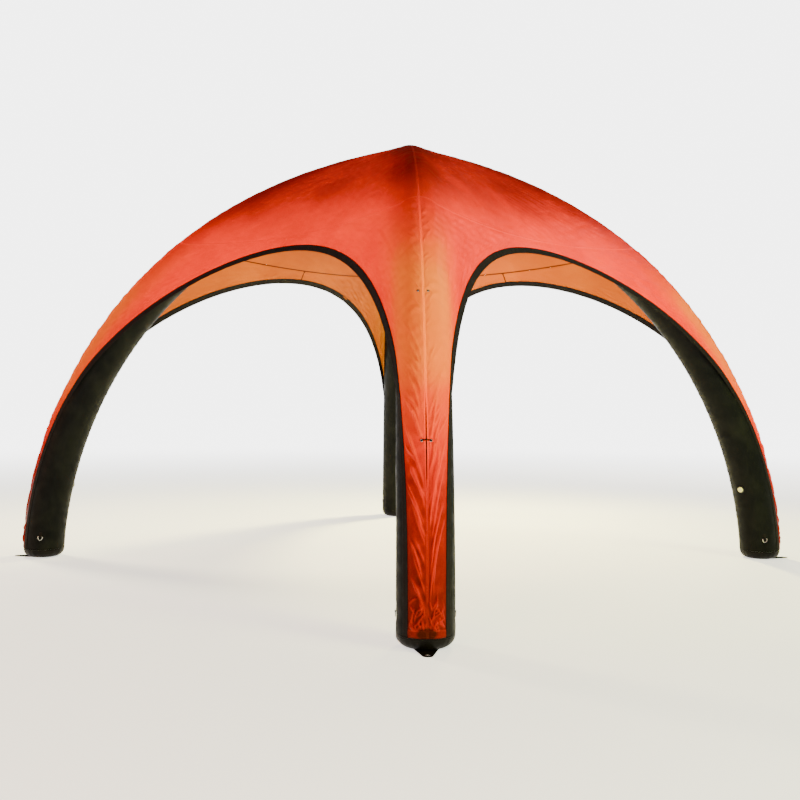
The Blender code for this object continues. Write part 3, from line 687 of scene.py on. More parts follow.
def linear(code: str) -> Colour:
    """Turns an sRGB colour linear.

    Args:
        code: hex code such as d5451f.

    Returns:
        Red, green, blue and a full alpha.
    """
    parts = [int(code[i:i + 2], 16) / 255 for i in (0, 2, 4)]
    parts = [p / 12.92 if p <= 0.04045 else ((p + 0.055) / 1.055) ** 2.4 for p in parts]
    return (parts[0], parts[1], parts[2], 1.0)


class Shader:
    """The node tree of one material, or of the world."""

    def __init__(self, name: str, world: bool = False) -> None:
        """Makes an empty node tree with a socket for the place on the object.

        Args:
            name: name of the material or world.
            world: whether it is the world's.
        """
        self.owner = (bpy.data.worlds if world else bpy.data.materials).new(name)
        self.owner.use_nodes = True
        self.output = "OutputWorld" if world else "OutputMaterial"
        self.tree = self.owner.node_tree
        self.tree.nodes.clear()
        self.place = self.add("TexCoord", out="Object")

    def add(self, kind: str, links: Links = (), out: int | str = 0,
            stops: Sequence[tuple[float, str]] = (), **settings: object) -> Socket:
        """Adds one node with its settings and links.

        Args:
            kind: Blender's name of the node's type, without ShaderNode.
            links: for each input, by order, number or name, the socket to link or the value.
            out: number or name of the output that is given back.
            stops: places and sRGB hex codes of a colour ramp.
            settings: properties of the node.

        Returns:
            The output socket.
        """
        node = self.tree.nodes.new("ShaderNode" + kind)
        for key, value in settings.items():
            setattr(node, key, value)
        for key, value in links.items() if isinstance(links, dict) else enumerate(links):
            if isinstance(value, Socket):
                self.tree.links.new(value, node.inputs[key])
            else:
                node.inputs[key].default_value = value
        if stops:
            elements = node.color_ramp.elements
            while len(elements) < len(stops):
                elements.new(0.5)
            for element, (place, code) in zip(elements, stops):
                element.position, element.color = place, linear(code)
        return node.outputs[out]

    def axes(self) -> tuple[Socket, Socket]:
        """Sockets of the two directions of the piece's own UV map, in metres."""
        split = self.add("SeparateXYZ", [self.add("UVMap")]).node
        return split.outputs[0], split.outputs[1]

    def patches(self, scale: float, detail: float, distortion: float,
                seen: tuple[float, float], ends: tuple[float, float]) -> Socket:
        """Value that wanders in soft patches: fractal noise, then a smooth step between ends.

        Args:
            scale: waves per metre.
            detail: octaves of finer noise.
            distortion: how far the noise is stirred.
            seen: noise values at which the two ends are reached.
            ends: the two ends.

        Returns:
            The value's socket.
        """
        noise = self.add("TexNoise", {"Vector": self.place, "Scale": scale, "Detail": detail,
                                      "Distortion": distortion})
        return self.add("MapRange", [noise, *seen, *ends], **SMOOTHLY)

    def sine(self, value: Socket, pitch: float) -> Socket:
        """Sine wave of a pitch in metres."""
        turn = self.add("Math", [value, 2 * math.pi / pitch], operation="MULTIPLY")
        return self.add("Math", [turn], operation="SINE")

    def weave(self, pitch: float) -> Socket:
        """Height of a plain weave: the product of a sine along each thread direction."""
        waves = [self.sine(axis, pitch) for axis in self.axes()]
        return self.add("Math", waves, operation="MULTIPLY")

    def stitches(self, off: Socket, row: float, half: float, along: Socket, pitch: float,
                 start: float) -> Socket:
        """Height of a row of stitches: a thin line beside a seam or edge, cut into dashes.

        Args:
            off: distance to the seam or edge.
            row: distance of the row from it.
            half: half the thread's thickness, past which it fades over 0.5 mm.
            along: place along the row.
            pitch: length of a stitch with its gap.
            start: value of the sine along the row at which a stitch starts.

        Returns:
            The height's socket.
        """
        past = self.add("Math", [off, row], operation="SUBTRACT")
        away = self.add("Math", [past], operation="ABSOLUTE")
        line = self.add("MapRange", [away, half, half + 0.5 * MM, 1.0, 0.0], **SMOOTHLY)
        dash = self.add("MapRange", [self.sine(along, pitch), start, 0.1, 0.0, 1.0], **SMOOTHLY)
        return self.add("Math", [line, dash], operation="MULTIPLY")

    def relief(self, layers: Sequence[tuple[Socket, float, float]]) -> Socket:
        """Normal of a surface with heights laid one over the other.

        Args:
            layers: for each height its socket, its size in metres and its strength.

        Returns:
            The normal's socket.
        """
        under: dict[str, Socket] = {}
        for height, distance, strength in layers:
            normal = self.add("Bump", {"Height": height, "Distance": distance,
                                       "Strength": strength, **under})
            under = {"Normal": normal}
        return normal

    def finish(self, shader: Socket) -> bpy.types.Material | bpy.types.World:
        """Links the last shader to an output and gives the material or world."""
        output = self.tree.nodes.new("ShaderNode" + self.output)
        self.tree.links.new(shader, output.inputs[0])
        return self.owner


@dataclass(frozen=True)
class RoofCloth:
    """Woven polyester, dyed orange.

    A fine 0.5 mm weave, welted seams with stitching, and light that comes through from behind.
    Its reverse is browner and yellower, and darker where a seam has more layers. Both faces
    carry painted shade and a painted golden glow from an attribute.
    """

    name: str = "woven_polyester_orange"
    face: tuple[str, ...] = ("3a0a06", "8c140a", "e22606", "f84606", "ff780c")
    back: tuple[str, ...] = ("3a1004", "702a0a", "984610", "b86614", "e08e1c")
    sheen: str = "ffa030"
    pitch: float = 0.5 * MM
    stitch: float = 3.5 * MM
    through: float = 0.42
    welt: tuple[float, float] = (5.5 * MM, 7.5 * MM)

    def material(self) -> bpy.types.Material:
        """The material: painted shade and glow set its colour; seam is the distance to a seam."""
        s = Shader(self.name)
        mottle = s.patches(2.2, 3.0, 0.4, (0.25, 0.75), (-0.05, 0.05))
        fine = s.patches(90.0, 2.0, 0.0, (0.2, 0.8), (-0.02, 0.02))
        # This attribute holds painted shade, a painted hem shadow and a painted golden glow.
        tone = s.add("Attribute", out="Fac", attribute_name="tone")
        tone = s.add("Math", [tone, mottle], operation="ADD")
        tone = s.add("Math", [tone, fine], operation="ADD", use_clamp=True)
        seam = s.add("Attribute", out="Fac", attribute_name="seam")
        welt = s.add("MapRange", [seam, *self.welt, 1.0, 0.0], **SMOOTHLY)
        shade = s.add("Math", [welt, -0.5, tone], operation="MULTIPLY_ADD")
        places = np.linspace(0.0, 1.0, len(self.face)).tolist()
        face = s.add("ValToRGB", [tone], stops=list(zip(places, self.face)))
        back = s.add("ValToRGB", [shade], stops=list(zip(places, self.back)))
        inside = s.add("NewGeometry", out="Backfacing")
        colour = s.add("Mix", {0: inside, 6: face, 7: back}, out=2, data_type="RGBA")
        along = s.add("Math", s.axes(), operation="ADD")
        thread = s.stitches(seam, 4.0 * MM, 0.3 * MM, along, self.stitch, -0.3)
        crumple = s.add("TexNoise", {"Vector": s.place, "Scale": 38.0, "Detail": 3.0,
                                     "Distortion": 0.6})
        normal = s.relief([(s.weave(self.pitch), 0.03 * MM, 0.6), (crumple, 1.2 * MM, 0.5),
                           (welt, 0.8 * MM, 0.8), (thread, 0.3 * MM, 0.8)])
        front = s.add("BsdfPrincipled", {
            "Base Color": colour, "Normal": normal, "Specular IOR Level": 0.20,
            "Specular Tint": linear(self.sheen),
            "Roughness": s.patches(14.0, 2.0, 0.0, (0.3, 0.7), (0.34, 0.44))})
        glow = s.add("BsdfTranslucent", {"Color": colour, "Normal": normal})
        amount = s.add("Math", [welt, -0.8 * self.through, self.through],
                       operation="MULTIPLY_ADD")
        return s.finish(s.add("MixShader", [amount, front, glow]))


@dataclass(frozen=True)
class CoatedCloth:
    """Black coated cloth: a faint weave under a rubbery coat, with soft crumples and dust."""

    name: str
    dark: str
    light: str
    pitch: float = 0.8 * MM
    rough: float = 0.5
    crumple: float = 1.5 * MM

    def material(self) -> bpy.types.Material:
        """The material; seam is the distance to a welded seam."""
        s = Shader(self.name)
        dust = s.patches(6.0, 4.0, 0.5, (0.35, 0.75), (0.0, 1.0))
        colour = s.add("ValToRGB", [dust], stops=[(0.0, self.dark), (1.0, self.light)])
        seam = s.add("Attribute", out="Fac", attribute_name="seam")
        welt = s.add("MapRange", [seam, 9 * MM, 11 * MM, 1.0, 0.0], **SMOOTHLY)
        crumple = s.add("TexNoise", {"Vector": s.place, "Scale": 24.0, "Detail": 3.0,
                                     "Distortion": 0.8})
        normal = s.relief([(s.weave(self.pitch), 0.05 * MM, 0.7), (crumple, self.crumple, 0.5),
                           (welt, 0.8 * MM, 0.7)])
        rough = s.patches(19.0, 3.0, 0.0, (0.3, 0.7), (self.rough - 0.08, self.rough + 0.1))
        return s.finish(s.add("BsdfPrincipled", {
            "Base Color": colour, "Roughness": rough, "Normal": normal,
            "Specular IOR Level": 0.06}))


@dataclass(frozen=True)
class Webbing:
    """Black polyester webbing: ribs across it every 1.2 mm, and a row of stitches at each edge."""

    name: str = "ribbed_webbing_black"
    pitch: float = 1.2 * MM
    yarn: float = 1.6 * MM
    stitch: float = 4.0 * MM
    dark: str = "080605"
    light: str = "15100e"

    def material(self) -> bpy.types.Material:
        """The material; u runs across the band and v along it, and edge is 0 at its borders."""
        s = Shader(self.name)
        u, v = s.axes()
        yarn = s.add("Math", [s.sine(u, self.yarn), 0.3], operation="MULTIPLY")
        height = s.add("Math", [s.sine(v, self.pitch), 0.5, yarn], operation="MULTIPLY_ADD")
        edge = s.add("Attribute", out="Fac", attribute_name="edge")
        thread = s.stitches(edge, 3.5 * MM, 0.4 * MM, v, self.stitch, -0.4)
        wear = s.add("TexNoise", {"Vector": s.place, "Scale": 30.0, "Detail": 3.0})
        return s.finish(s.add("BsdfPrincipled", {
            "Base Color": s.add("ValToRGB", [wear], stops=[(0.3, self.dark), (0.8, self.light)]),
            "Roughness": s.add("MapRange", [wear, 0.3, 0.7, 0.66, 0.82], **SMOOTHLY),
            "Normal": s.relief([(height, 0.16 * MM, 0.8), (thread, 0.4 * MM, 0.8)]),
            "Specular IOR Level": 0.12}))


@dataclass(frozen=True)
class Smooth:
    """A smooth hard or filmy surface whose colour and gloss wander together in small patches.

    Noise of a scale in waves per metre drives colour and roughness, and a finer one the relief.
    """

    name: str
    dark: str
    light: str
    rough: tuple[float, float]
    patch: float
    grain: tuple[float, float, float]
    depth: float
    strength: float
    settings: tuple[tuple[str, float], ...] = ()

    def material(self) -> bpy.types.Material:
        """The material; grain holds the fine noise's scale, detail and distortion."""
        s = Shader(self.name)
        wear = s.add("TexNoise", {"Vector": s.place, "Scale": self.patch, "Detail": 3.0})
        scale, detail, distortion = self.grain
        grain = s.add("TexNoise", {"Vector": s.place, "Scale": scale, "Detail": detail,
                                   "Distortion": distortion})
        return s.finish(s.add("BsdfPrincipled", {
            "Base Color": s.add("ValToRGB", [wear], stops=[(0.3, self.dark), (0.7, self.light)]),
            "Roughness": s.add("MapRange", [wear, 0.3, 0.7, *self.rough], **SMOOTHLY),
            "Normal": s.relief([(grain, self.depth, self.strength)]), **dict(self.settings)}))


def moulded(name: str, dark: str, light: str) -> Smooth:
    """Injection moulded plastic: a fine spark-eroded grain and slight wear."""
    return Smooth(name, dark, light, (0.36, 0.50), 160.0, (2600.0, 1.0, 0.0), 0.05 * MM, 0.5)


class Palette:
    """Every finish of the tent, made once."""

    def __init__(self) -> None:
        """Makes the materials."""
        self.roof = RoofCloth().material()
        self.sleeve = CoatedCloth("coated_polyester_black", "050606", "0e0f0d").material()
        self.foot = CoatedCloth("tarpaulin_black", "060505", "0f0d0c", 1.1 * MM, 0.42,
                                1.0 * MM).material()
        self.webbing = Webbing().material()
        self.black = moulded("moulded_plastic_black", "141414", "1f1f1f").material()
        self.yellow = moulded("moulded_plastic_pale_yellow", "c9c574", "d9d58c").material()
        # Nickel plating is bright, with fine scratches and duller patches.
        self.steel = Smooth("nickel_plated_steel", "a9a79f", "cfccc2", (0.2, 0.36), 220.0,
                            (1500.0, 2.0, 2.0), 0.03 * MM, 0.4,
                            (("Metallic", 1.0),)).material()
        # The air tubes' film is milky, with a soft sheen and small ripples.
        self.film = Smooth("polyurethane_film", "aab2b0", "ccd2cf", (0.22, 0.34), 9.0,
                           (40.0, 2.0, 0.0), 0.6 * MM, 0.5,
                           (("Transmission Weight", 0.4),)).material()


@dataclass
class Roof:
    """The cloth: eight side strips and four top pieces, sewn along the ridges."""

    shape: RoofShape
    palette: Palette
    strip_rows: int = 290
    span_rows: int = 200
    strip_columns: int = 38
    span_columns: int = 72
    top_rows: int = 170
    top_columns: int = 14
    top_span: int = 46
    eyelet_runs: tuple[float, ...] = (0.997, 1.864)
    eyelet_side: tuple[float, ...] = (0.024, 0.028)
    slit: float = 0.0032
    slit_ends: tuple[float, ...] = (0.70, 0.90, 1.10, 1.26)
    level_hem: tuple[float, float] = (0.07, 0.16)
    seam_still: tuple[float, float] = (0.003, 0.016)
    still: float = 0.05
    welt: tuple[float, float] = (0.0085, 0.0065)
    welt_height: float = 0.0010
    hem_fold: float = 0.030
    hem_welt: tuple[float, float] = (0.034, 0.028)
    hem_height: float = 0.0014
    tube_side: float = 0.152
    free_side: float = 0.10
    ripple: float = 0.0012
    top_ripple: float = 0.0010
    billow: float = 0.0016
    inside: tuple[float, float, float] = (0.0, 0.0, 0.8)

    def folds(self, leg: str, hand: int) -> Creases:
        """Creases of a strip: folds that run down to the ridge, puckers and a crumpled foot.

        Args:
            leg: the leg that the strip lies on.
            hand: -1 for the leg's right strip, whose folds hang nearly upright, 1 for its left.

        Returns:
            The creases in (side, run) coordinates.
        """
        rng = np.random.default_rng(1000 + int(LEGS[leg]) + 7 * hand)
        rows = []
        run = 0.17
        while run < 1.45:
            upright = hand < 0 and run < 0.95
            rise = rng.uniform(0.30, 0.50) if upright else rng.uniform(0.15, 0.30)
            width = rng.uniform(0.045, 0.085) if upright else rng.uniform(0.07, 0.12)
            fade = 1.0 - 0.55 * min(max((run - 0.8) / 0.5, 0.0), 1.0) * (1.5 if hand < 0 else 1.0)
            rows.append((width * rng.uniform(0.42, 0.75), run + rise / 2, math.atan2(width, rise),
                         math.hypot(width, rise) * rng.uniform(0.40, 0.62),
                         rng.uniform(0.0035, 0.0075), fade * rng.uniform(0.0060, 0.0130),
                         rng.uniform(-0.14, 0.20)))
            run += rng.uniform(0.030, 0.085)
        crumples = draws(rng, 24, [(0.0, 0.095), (0.10, 0.235), (-1.1, 1.1), (0.020, 0.055),
                                   (0.003, 0.006), (0.006, 0.013), (-0.3, 0.3)])
        puckers = draws(rng, 34, [(0.012, 0.045), (1.15, self.shape.seam_run), (0.35, 0.9),
                                  (0.03, 0.075), (0.0035, 0.006), (0.0022, 0.0055),
                                  (-0.2, 0.2)])
        return Creases(*np.vstack([rows, crumples, puckers]).T)

    def pulls(self, leg: str, hand: int, top: float) -> Creases:
        """Broad shallow pull lines of the free span, which start at the tube.

        Args:
            leg: the leg beside the span.
            hand: 1 or -1 for a strip, 3 or -3 for half a top piece; each has its own lines.
            top: running length up to which they start.

        Returns:
            The creases in (side, run) coordinates.
        """
        rng = np.random.default_rng(3000 + int(LEGS[leg]) + 7 * hand)
        rows = draws(rng, 26, [(0.16, 0.75), (self.shape.lift_run, top), (0.15, 0.9),
                               (0.08, 0.22), (0.014, 0.030), (-0.0028, 0.0034), (-0.08, 0.08)])
        return Creases(*rows.T)

    def flat_spots(self, side: np.ndarray, run: np.ndarray) -> np.ndarray:
        """Share that is 0 round each eyelet and 1 elsewhere.

        Args:
            side: distance from the ridge.
            run: running length.

        Returns:
            Shares from 0 to 1.
        """
        keep = np.ones(side.shape)
        for place, offset in zip(self.eyelet_runs, self.eyelet_side):
            keep = keep * smooth(np.hypot(side - offset, run - place), 0.010, 0.026)
        return keep

    def tone(self, side: np.ndarray, run: np.ndarray, height: np.ndarray) -> np.ndarray:
        """Painted light and shade of the cloth: painted shade at the crown and towards the foot.

        A painted shadow darkens the folded hem at the ridge, and halfway up a painted golden glow
                lies over the legs' tubes.

        Args:
            side: distance from the ridge.
            run: running length.
            height: height over the ground.

        Returns:
            Shades from 0, dark, to 1, bright.
        """
        # Painted shadow: a dark elliptical patch on the folded hem at the ridge.
        painted_shadow_patch = np.hypot(side / 0.050, (run - 0.086) / 0.024)
        fold = 0.36 * smooth(painted_shadow_patch, 1.3, 0.5)
        # Share that lies over the tube, where the painted golden glow goes.
        near = 1 - smooth(side - 0.15, -0.05, 0.30)
        # Painted shade: darker towards the crown, a little less dark at the very top.
        crown = 0.25 * smooth(height, 2.35, 2.85) - 0.06 * smooth(height, 3.0, 3.2)
        # Painted light: a golden glow over the tube, from about 0.7 m to 2.5 m up.
        glow = 0.47 * smooth(height, 0.7, 1.6) * smooth(height, 2.5, 1.9) * near
        # Painted shade: darker towards the foot.
        foot = 0.34 * smooth(height, 1.4, 0.15)
        return 0.49 - fold - crown - foot + glow

    def free_waves(self, side: np.ndarray, run: np.ndarray, pulls: Creases,
                   seed: int) -> np.ndarray:
        """Pull lines and a broad swell of the cloth that lies on no tube.

        Args:
            side: distance from the ridge.
            run: running length.
            pulls: the pull lines.
            seed: seed of the swell.

        Returns:
            Heights, which are 0 on the tube.
        """
        free = smooth(side - self.tube_side, 0.0, self.free_side)
        place = np.stack([side, run], axis=-1)
        return free * (pulls.at(side, run) + self.billow * swell(place, 0.30, seed))

    def around_tube(self, low: np.ndarray, high: np.ndarray) -> tuple[np.ndarray, ...]:
        """The half of a strip that lies round the tube, with its hem turned in.

        The hem lies level, and the columns above it straighten out over the next 90 mm. A
        narrow gap between the two strips of a leg is left round the lower eyelets.

        Args:
            low: running lengths of the rows up to the lift-off.
            high: running lengths of the rows above it, from the lift-off on.

        Returns:
            Points, distances from the ridge and running lengths.
        """
        shape = self.shape
        near = np.concatenate([low[:1], low, high[1:]])
        radius = np.full(near.shape, shape.outer)
        radius[0] = shape.inner
        across = np.linspace(0.0, 1.0, self.strip_columns)
        run = np.repeat(near[:, None], len(across), axis=1)
        start = shape.leg.level_run(across * shape.hem_angle, shape.outer, shape.hem_height)
        run[:2] = start
        rest = 1 - smooth(run, *self.level_hem)
        run = np.where(run < self.level_hem[1], run + (start - shape.hem_height) * rest, run)
        run[:2] = start
        points = shape.point(run, across[None], radius[:, None])
        aside = unit(points[:, 1:2] - points[:, :1])
        first, wide, narrow, last = self.slit_ends
        open_by = self.slit * smooth(near, first, wide) * smooth(near, last, narrow)
        points = points + aside * (open_by[:, None] * (1 - across) ** 6)[..., None]
        return points, running_rows(points), run

    def strip_grids(self) -> list[tuple[np.ndarray, ...]]:
        """The two grids of a strip: round the tube, and from it to the arch or the seam.

        Returns:
            For each its points, distances from the ridge, running lengths and seam distances.
        """
        shape = self.shape
        low = np.linspace(shape.hem_height, shape.lift_run, self.strip_rows + 1)
        step = np.linspace(0.0, shape.span_steps, self.span_rows + 1)
        high = shape.lift_run + step / shape.span_steps * (shape.seam_run - shape.lift_run)
        part_a, side_a, run_a = self.around_tube(low, high)
        seam_a = np.minimum(side_a, np.maximum(shape.seam_run - run_a, 0.0))
        far_run, far_across = shape.far_edge(step)
        share = np.linspace(0.0, 1.0, self.span_columns + 1)
        run_b = high[:, None] + (far_run - high)[:, None] * share
        across_b = 1 + (far_across - 1)[:, None] * share
        run_b[0], across_b[0] = shape.lift_run, 1.0
        part_b = shape.point(run_b, across_b, shape.outer)
        side_b = running_rows(part_b) + side_a[-len(high):, -1:]
        arch = step[:, None] < shape.span_steps - 1
        seam_b = np.minimum(shape.seam_run - run_b, np.where(arch, FAR, side_b[:, -1:] - side_b))
        return [(part_a, side_a, run_a, seam_a), (part_b, side_b, run_b, seam_b)]

    def strip(self, side: str, leg: str, hand: int) -> bpy.types.Object:
        """One side strip, from its hem up the leg to the level seam above the arch.

        Its folds fade out at its seams, at the webbing and round the eyelets.

        Args:
            side: the side of the tent.
            leg: the leg that the strip lies on.
            hand: 1 for the side's second leg, -1 for its first.

        Returns:
            The object.
        """
        shape = self.shape
        hem = shape.hem_height
        folds, pulls = self.folds(leg, hand), self.pulls(leg, hand, shape.seam_run)
        skin = Skin()
        grids = self.strip_grids()
        for part, x, run, seam in grids:
            fade = 0.03 + 0.97 * smooth(shape.off_webbing(part), 0.0, 0.024)
            fade = fade * smooth(seam, *self.seam_still) * self.flat_spots(x, run)
            fade = fade * smooth(shape.seam_run - run, 0.0, self.still)
            lift = folds.at(x, run) * smooth(run, 0.09, 0.12)
            ripple = swell(np.stack([x, run], axis=-1), 0.09, 5 + hand)
            lift = lift + self.ripple * (1 + ripple) + self.free_waves(x, run, pulls, 9 + hand)
            lift = lift * fade + self.welt_height * smooth(seam, *self.welt)
            lift = lift + self.hem_height * smooth(run - hem, *self.hem_welt)
            lift = lift * smooth(run, hem - 1e-4, hem + 0.004)
            # Painted shade and highlight: darker in the hollows of the folds and brighter on their
            # ridges, low on the strip.
            depth = 0.20 * (np.clip(lift / 0.007, 0.0, 1.0) - 0.3) * smooth(run, 1.5, 0.6)
            row = np.abs(run - hem - self.hem_fold) + 0.003
            skin.grid(panel_to_world(part, side, hand), {
                "u": x * hand, "v": run, "seam": np.minimum(seam, row),
                "tone": self.tone(x, run, part[..., 2]) + depth, "lift": lift}, flip=hand < 0)
        thing = skin.build(f"cloth_strip_{side}_{leg}", [self.palette.roof], inside=self.inside,
                           slot=Slot.ROOF, replaces=[f"roof_strip_{side}_{leg}"])
        declare_sheet(thing, float(grids[1][1].max()), float(shape.seam_run - hem))
        return thing

    def top(self, side: str) -> bpy.types.Object:
        """The top piece of one side, from the level seam to the peak.

        Args:
            side: the side of the tent.

        Returns:
            The object.
        """
        shape = self.shape
        across = np.concatenate([np.linspace(0.0, 1.0, self.top_columns),
                                 np.linspace(1.0, 2.0, self.top_span + 1)[1:]])
        share = np.linspace(0.0, 1.0, self.top_rows + 1)[:, None]
        last = shape.crown_run(across)
        run = shape.seam_run + (last - shape.seam_run) * share
        half = shape.point(run, across[None], shape.outer)
        x = running_rows(half)
        seam = np.minimum(x, run - shape.seam_run)
        fade = smooth(x, *self.seam_still) * smooth(run - shape.seam_run, 0.0, self.still)
        fade = fade * smooth(1 - share, 0.0, 0.06)
        middle = smooth(x[:, -1:] - x, 0.0, 0.06)
        skin = Skin()
        for hand in (1, -1):
            leg = SIDES[side][2] if hand > 0 else SIDES[side][1]
            pulls = self.pulls(leg, 3 * hand, shape.leg.length - 0.4)
            ripple = swell(np.stack([x, run], axis=-1), 0.09, 25 + hand)
            lift = self.top_ripple * (1 + ripple)
            lift = lift + middle * self.free_waves(x, run, pulls, 29 + hand)
            lift = lift * fade + self.welt_height * smooth(seam, *self.welt)
            skin.grid(panel_to_world(half, side, hand), {
                "u": x * hand, "v": run, "seam": seam,
                "tone": self.tone(x, run, half[..., 2]), "lift": lift}, flip=hand < 0)
        thing = skin.build(f"cloth_top_{side}", [self.palette.roof], inside=self.inside,
                           slot=Slot.ROOF, replaces=[f"roof_top_{side}"])
        declare_sheet(thing, 2 * float(x.max()), float(last.max() - shape.seam_run))
        return thing

    def build(self) -> None:
        """Makes all twelve pieces."""
        for side, (_, right_leg, left_leg) in SIDES.items():
            self.strip(side, left_leg, 1)
            self.strip(side, right_leg, -1)
            self.top(side)


@dataclass
class Fitting:
    """Place and directions of one fitting on the southeast leg, repeated by quarter turns."""

    place: np.ndarray
    across: np.ndarray
    out: np.ndarray

    @property
    def up(self) -> np.ndarray:
        """Third direction of the fitting."""
        return np.cross(self.across, self.out)

    def mirrored(self) -> "Fitting":
        """The same fitting on the other side of the leg."""
        swap = np.array([[0.0, -1.0, 0.0], [-1.0, 0.0, 0.0], [0.0, 0.0, 1.0]])
        return Fitting(swap @ self.place, -(swap @ self.across), swap @ self.out)

    def on(self, leg: str) -> "Fitting":
        """The same fitting on another leg.

        Args:
            leg: the leg.

        Returns:
            The fitting, turned about the tent's middle.
        """
        turn = math.radians(LEGS[leg] - LEGS["southeast"])
        c, s = math.cos(turn), math.sin(turn)
        spin = np.array([[c, -s, 0.0], [s, c, 0.0], [0.0, 0.0, 1.0]])
        return Fitting(spin @ self.place, spin @ self.across, spin @ self.out)

    def world(self, points: np.ndarray) -> np.ndarray:
        """World points of local (across, out, up) points."""
        axes = np.stack([self.across, self.out, self.up])
        return self.place + points @ axes


# Bar of the left D-ring on the southeast leg: its place, its direction and the leg's outside.
RING = Fitting(np.array([2.092767, -1.87922, 0.169976]), np.array([0.732574, -0.67071, 0.11612]),
               np.array([0.675707, 0.737152, -0.005084]))
# The bar stands off the sleeve by a gap, the tab, its play and half the wire.
RING_OFFSET = GAP + 0.0015 + 0.0004 + 0.0025
# Axis and place of the valve on the southeast leg.
VALVE_AXIS = np.array([-0.974703, 0.114745, -0.191802])
VALVE_ACROSS = unit(np.cross(np.array([0.0, 0.0, 1.0]), VALVE_AXIS))
VALVE = Fitting(np.array([1.803531, -1.929608, 0.55]), VALVE_ACROSS, VALVE_AXIS)


@dataclass
class Sleeves:
    """The four black leg sleeves, with creases on the hollow side of the bend."""

    shape: RoofShape
    palette: Palette
    columns: int = 96
    rows: int = 380
    start: float = 0.065 + GAP
    slit: float = 0.0005
    hollow: float = math.pi * 0.15
    flat: tuple[float, float] = (0.028, 0.065)
    hidden: tuple[float, float] = (math.radians(110), math.radians(98))
    deepest: float = -0.0006

    def creases(self, leg: str) -> Creases:
        """Short folds across the inner side of the bend, where the cloth is squeezed.

        Args:
            leg: the leg, which has folds of its own.

        Returns:
            The creases in (distance round the tube, run) coordinates.
        """
        rng = np.random.default_rng(500 + int(LEGS[leg]))
        rows = []
        run = 0.35
        while run < 4.3:
            rows.append((self.hollow + rng.uniform(-0.05, 0.05), run,
                         math.pi / 2 + rng.uniform(-0.25, 0.25), rng.uniform(0.07, 0.17),
                         rng.uniform(0.007, 0.013), rng.uniform(0.0012, 0.0032),
                         rng.uniform(-0.25, 0.25)))
            run += rng.uniform(0.035, 0.085)
        for _ in range(30):
            rows.append((self.hollow + rng.choice([-1, 1]) * rng.uniform(0.12, 0.25),
                         rng.uniform(0.1, 3.9), rng.uniform(-0.4, 0.4),
                         rng.uniform(0.08, 0.26), rng.uniform(0.010, 0.018),
                         rng.uniform(0.0005, 0.002), rng.uniform(-0.1, 0.1)))
        return Creases(*np.array(rows).T)

    def sleeve(self, leg: str) -> bpy.types.Object:
        """One sleeve, from the foot cup to the joint at the crown.

        It is the tube round the leg's curve, pressed flat under the valve and the ring tabs.

        Args:
            leg: the leg.

        Returns:
            The object.
        """
        curve = self.shape.leg
        angle = np.linspace(self.slit, 2 * math.pi - self.slit, self.columns + 1)
        first = curve.level_run(angle, curve.radius, self.start)
        last = curve.mitre_run(angle, curve.radius, GAP / math.sqrt(2))
        share = np.linspace(0.0, 1.0, self.rows + 1)[:, None]
        run = first + (last - first) * share
        turn = angle + 0 * run
        points = leg_to_world(curve.tube(run, turn, curve.radius), leg)
        places = [RING.on(leg), RING.mirrored().on(leg), VALVE.on(leg)]
        keep = np.ones(run.shape)
        for fitting, offset in zip(places, (RING_OFFSET, RING_OFFSET, 0.0)):
            base = fitting.place - fitting.out * offset
            away = points - base
            near = 1 - smooth(np.linalg.norm(away, axis=-1), *self.flat)
            proud = (away @ fitting.out) * near
            points = points - proud[..., None] * fitting.out
            keep = keep * (1 - near)
        around = turn * curve.radius
        off_hollow = np.abs(math.pi - turn)
        lift = self.creases(leg).at(around, run) * smooth(off_hollow, *self.hidden) * keep
        lift = lift * smooth(run - first, 0.0, 0.03) * smooth(last - run, 0.0, 0.15)
        lift = np.maximum(lift, self.deepest)
        seam = np.minimum(off_hollow * curve.radius, run - first)
        skin = Skin()
        skin.grid(points, {"u": around, "v": run, "seam": seam, "lift": lift})
        thing = skin.build(f"sleeve_{leg}", [self.palette.sleeve], slot=Slot.SLEEVE,
                           replaces=[f"leg_sleeve_{leg}"])
        if self._inward(thing, leg):
            thing.data.flip_normals()
        declare_sheet(thing, 2 * math.pi * curve.radius, float(last.max()))
        return thing

    def _inward(self, thing: bpy.types.Object, leg: str) -> bool:
        """Whether the faces of the lower leg look at its centreline.

        Args:
            thing: the sleeve.
            leg: its leg.

        Returns:
            True if they look inwards.
        """
        normal, centre = face_directions(thing.data)
        low = centre[:, 2] < 0.4
        foot = leg_to_world(np.array([self.shape.leg.values[0, 0], 0.0, 0.0]), leg)
        return float(((centre - foot)[low, :2] * normal[low, :2]).sum()) < 0

    def build(self) -> None:
        """Makes the four sleeves."""
        for leg in LEGS:
            self.sleeve(leg)


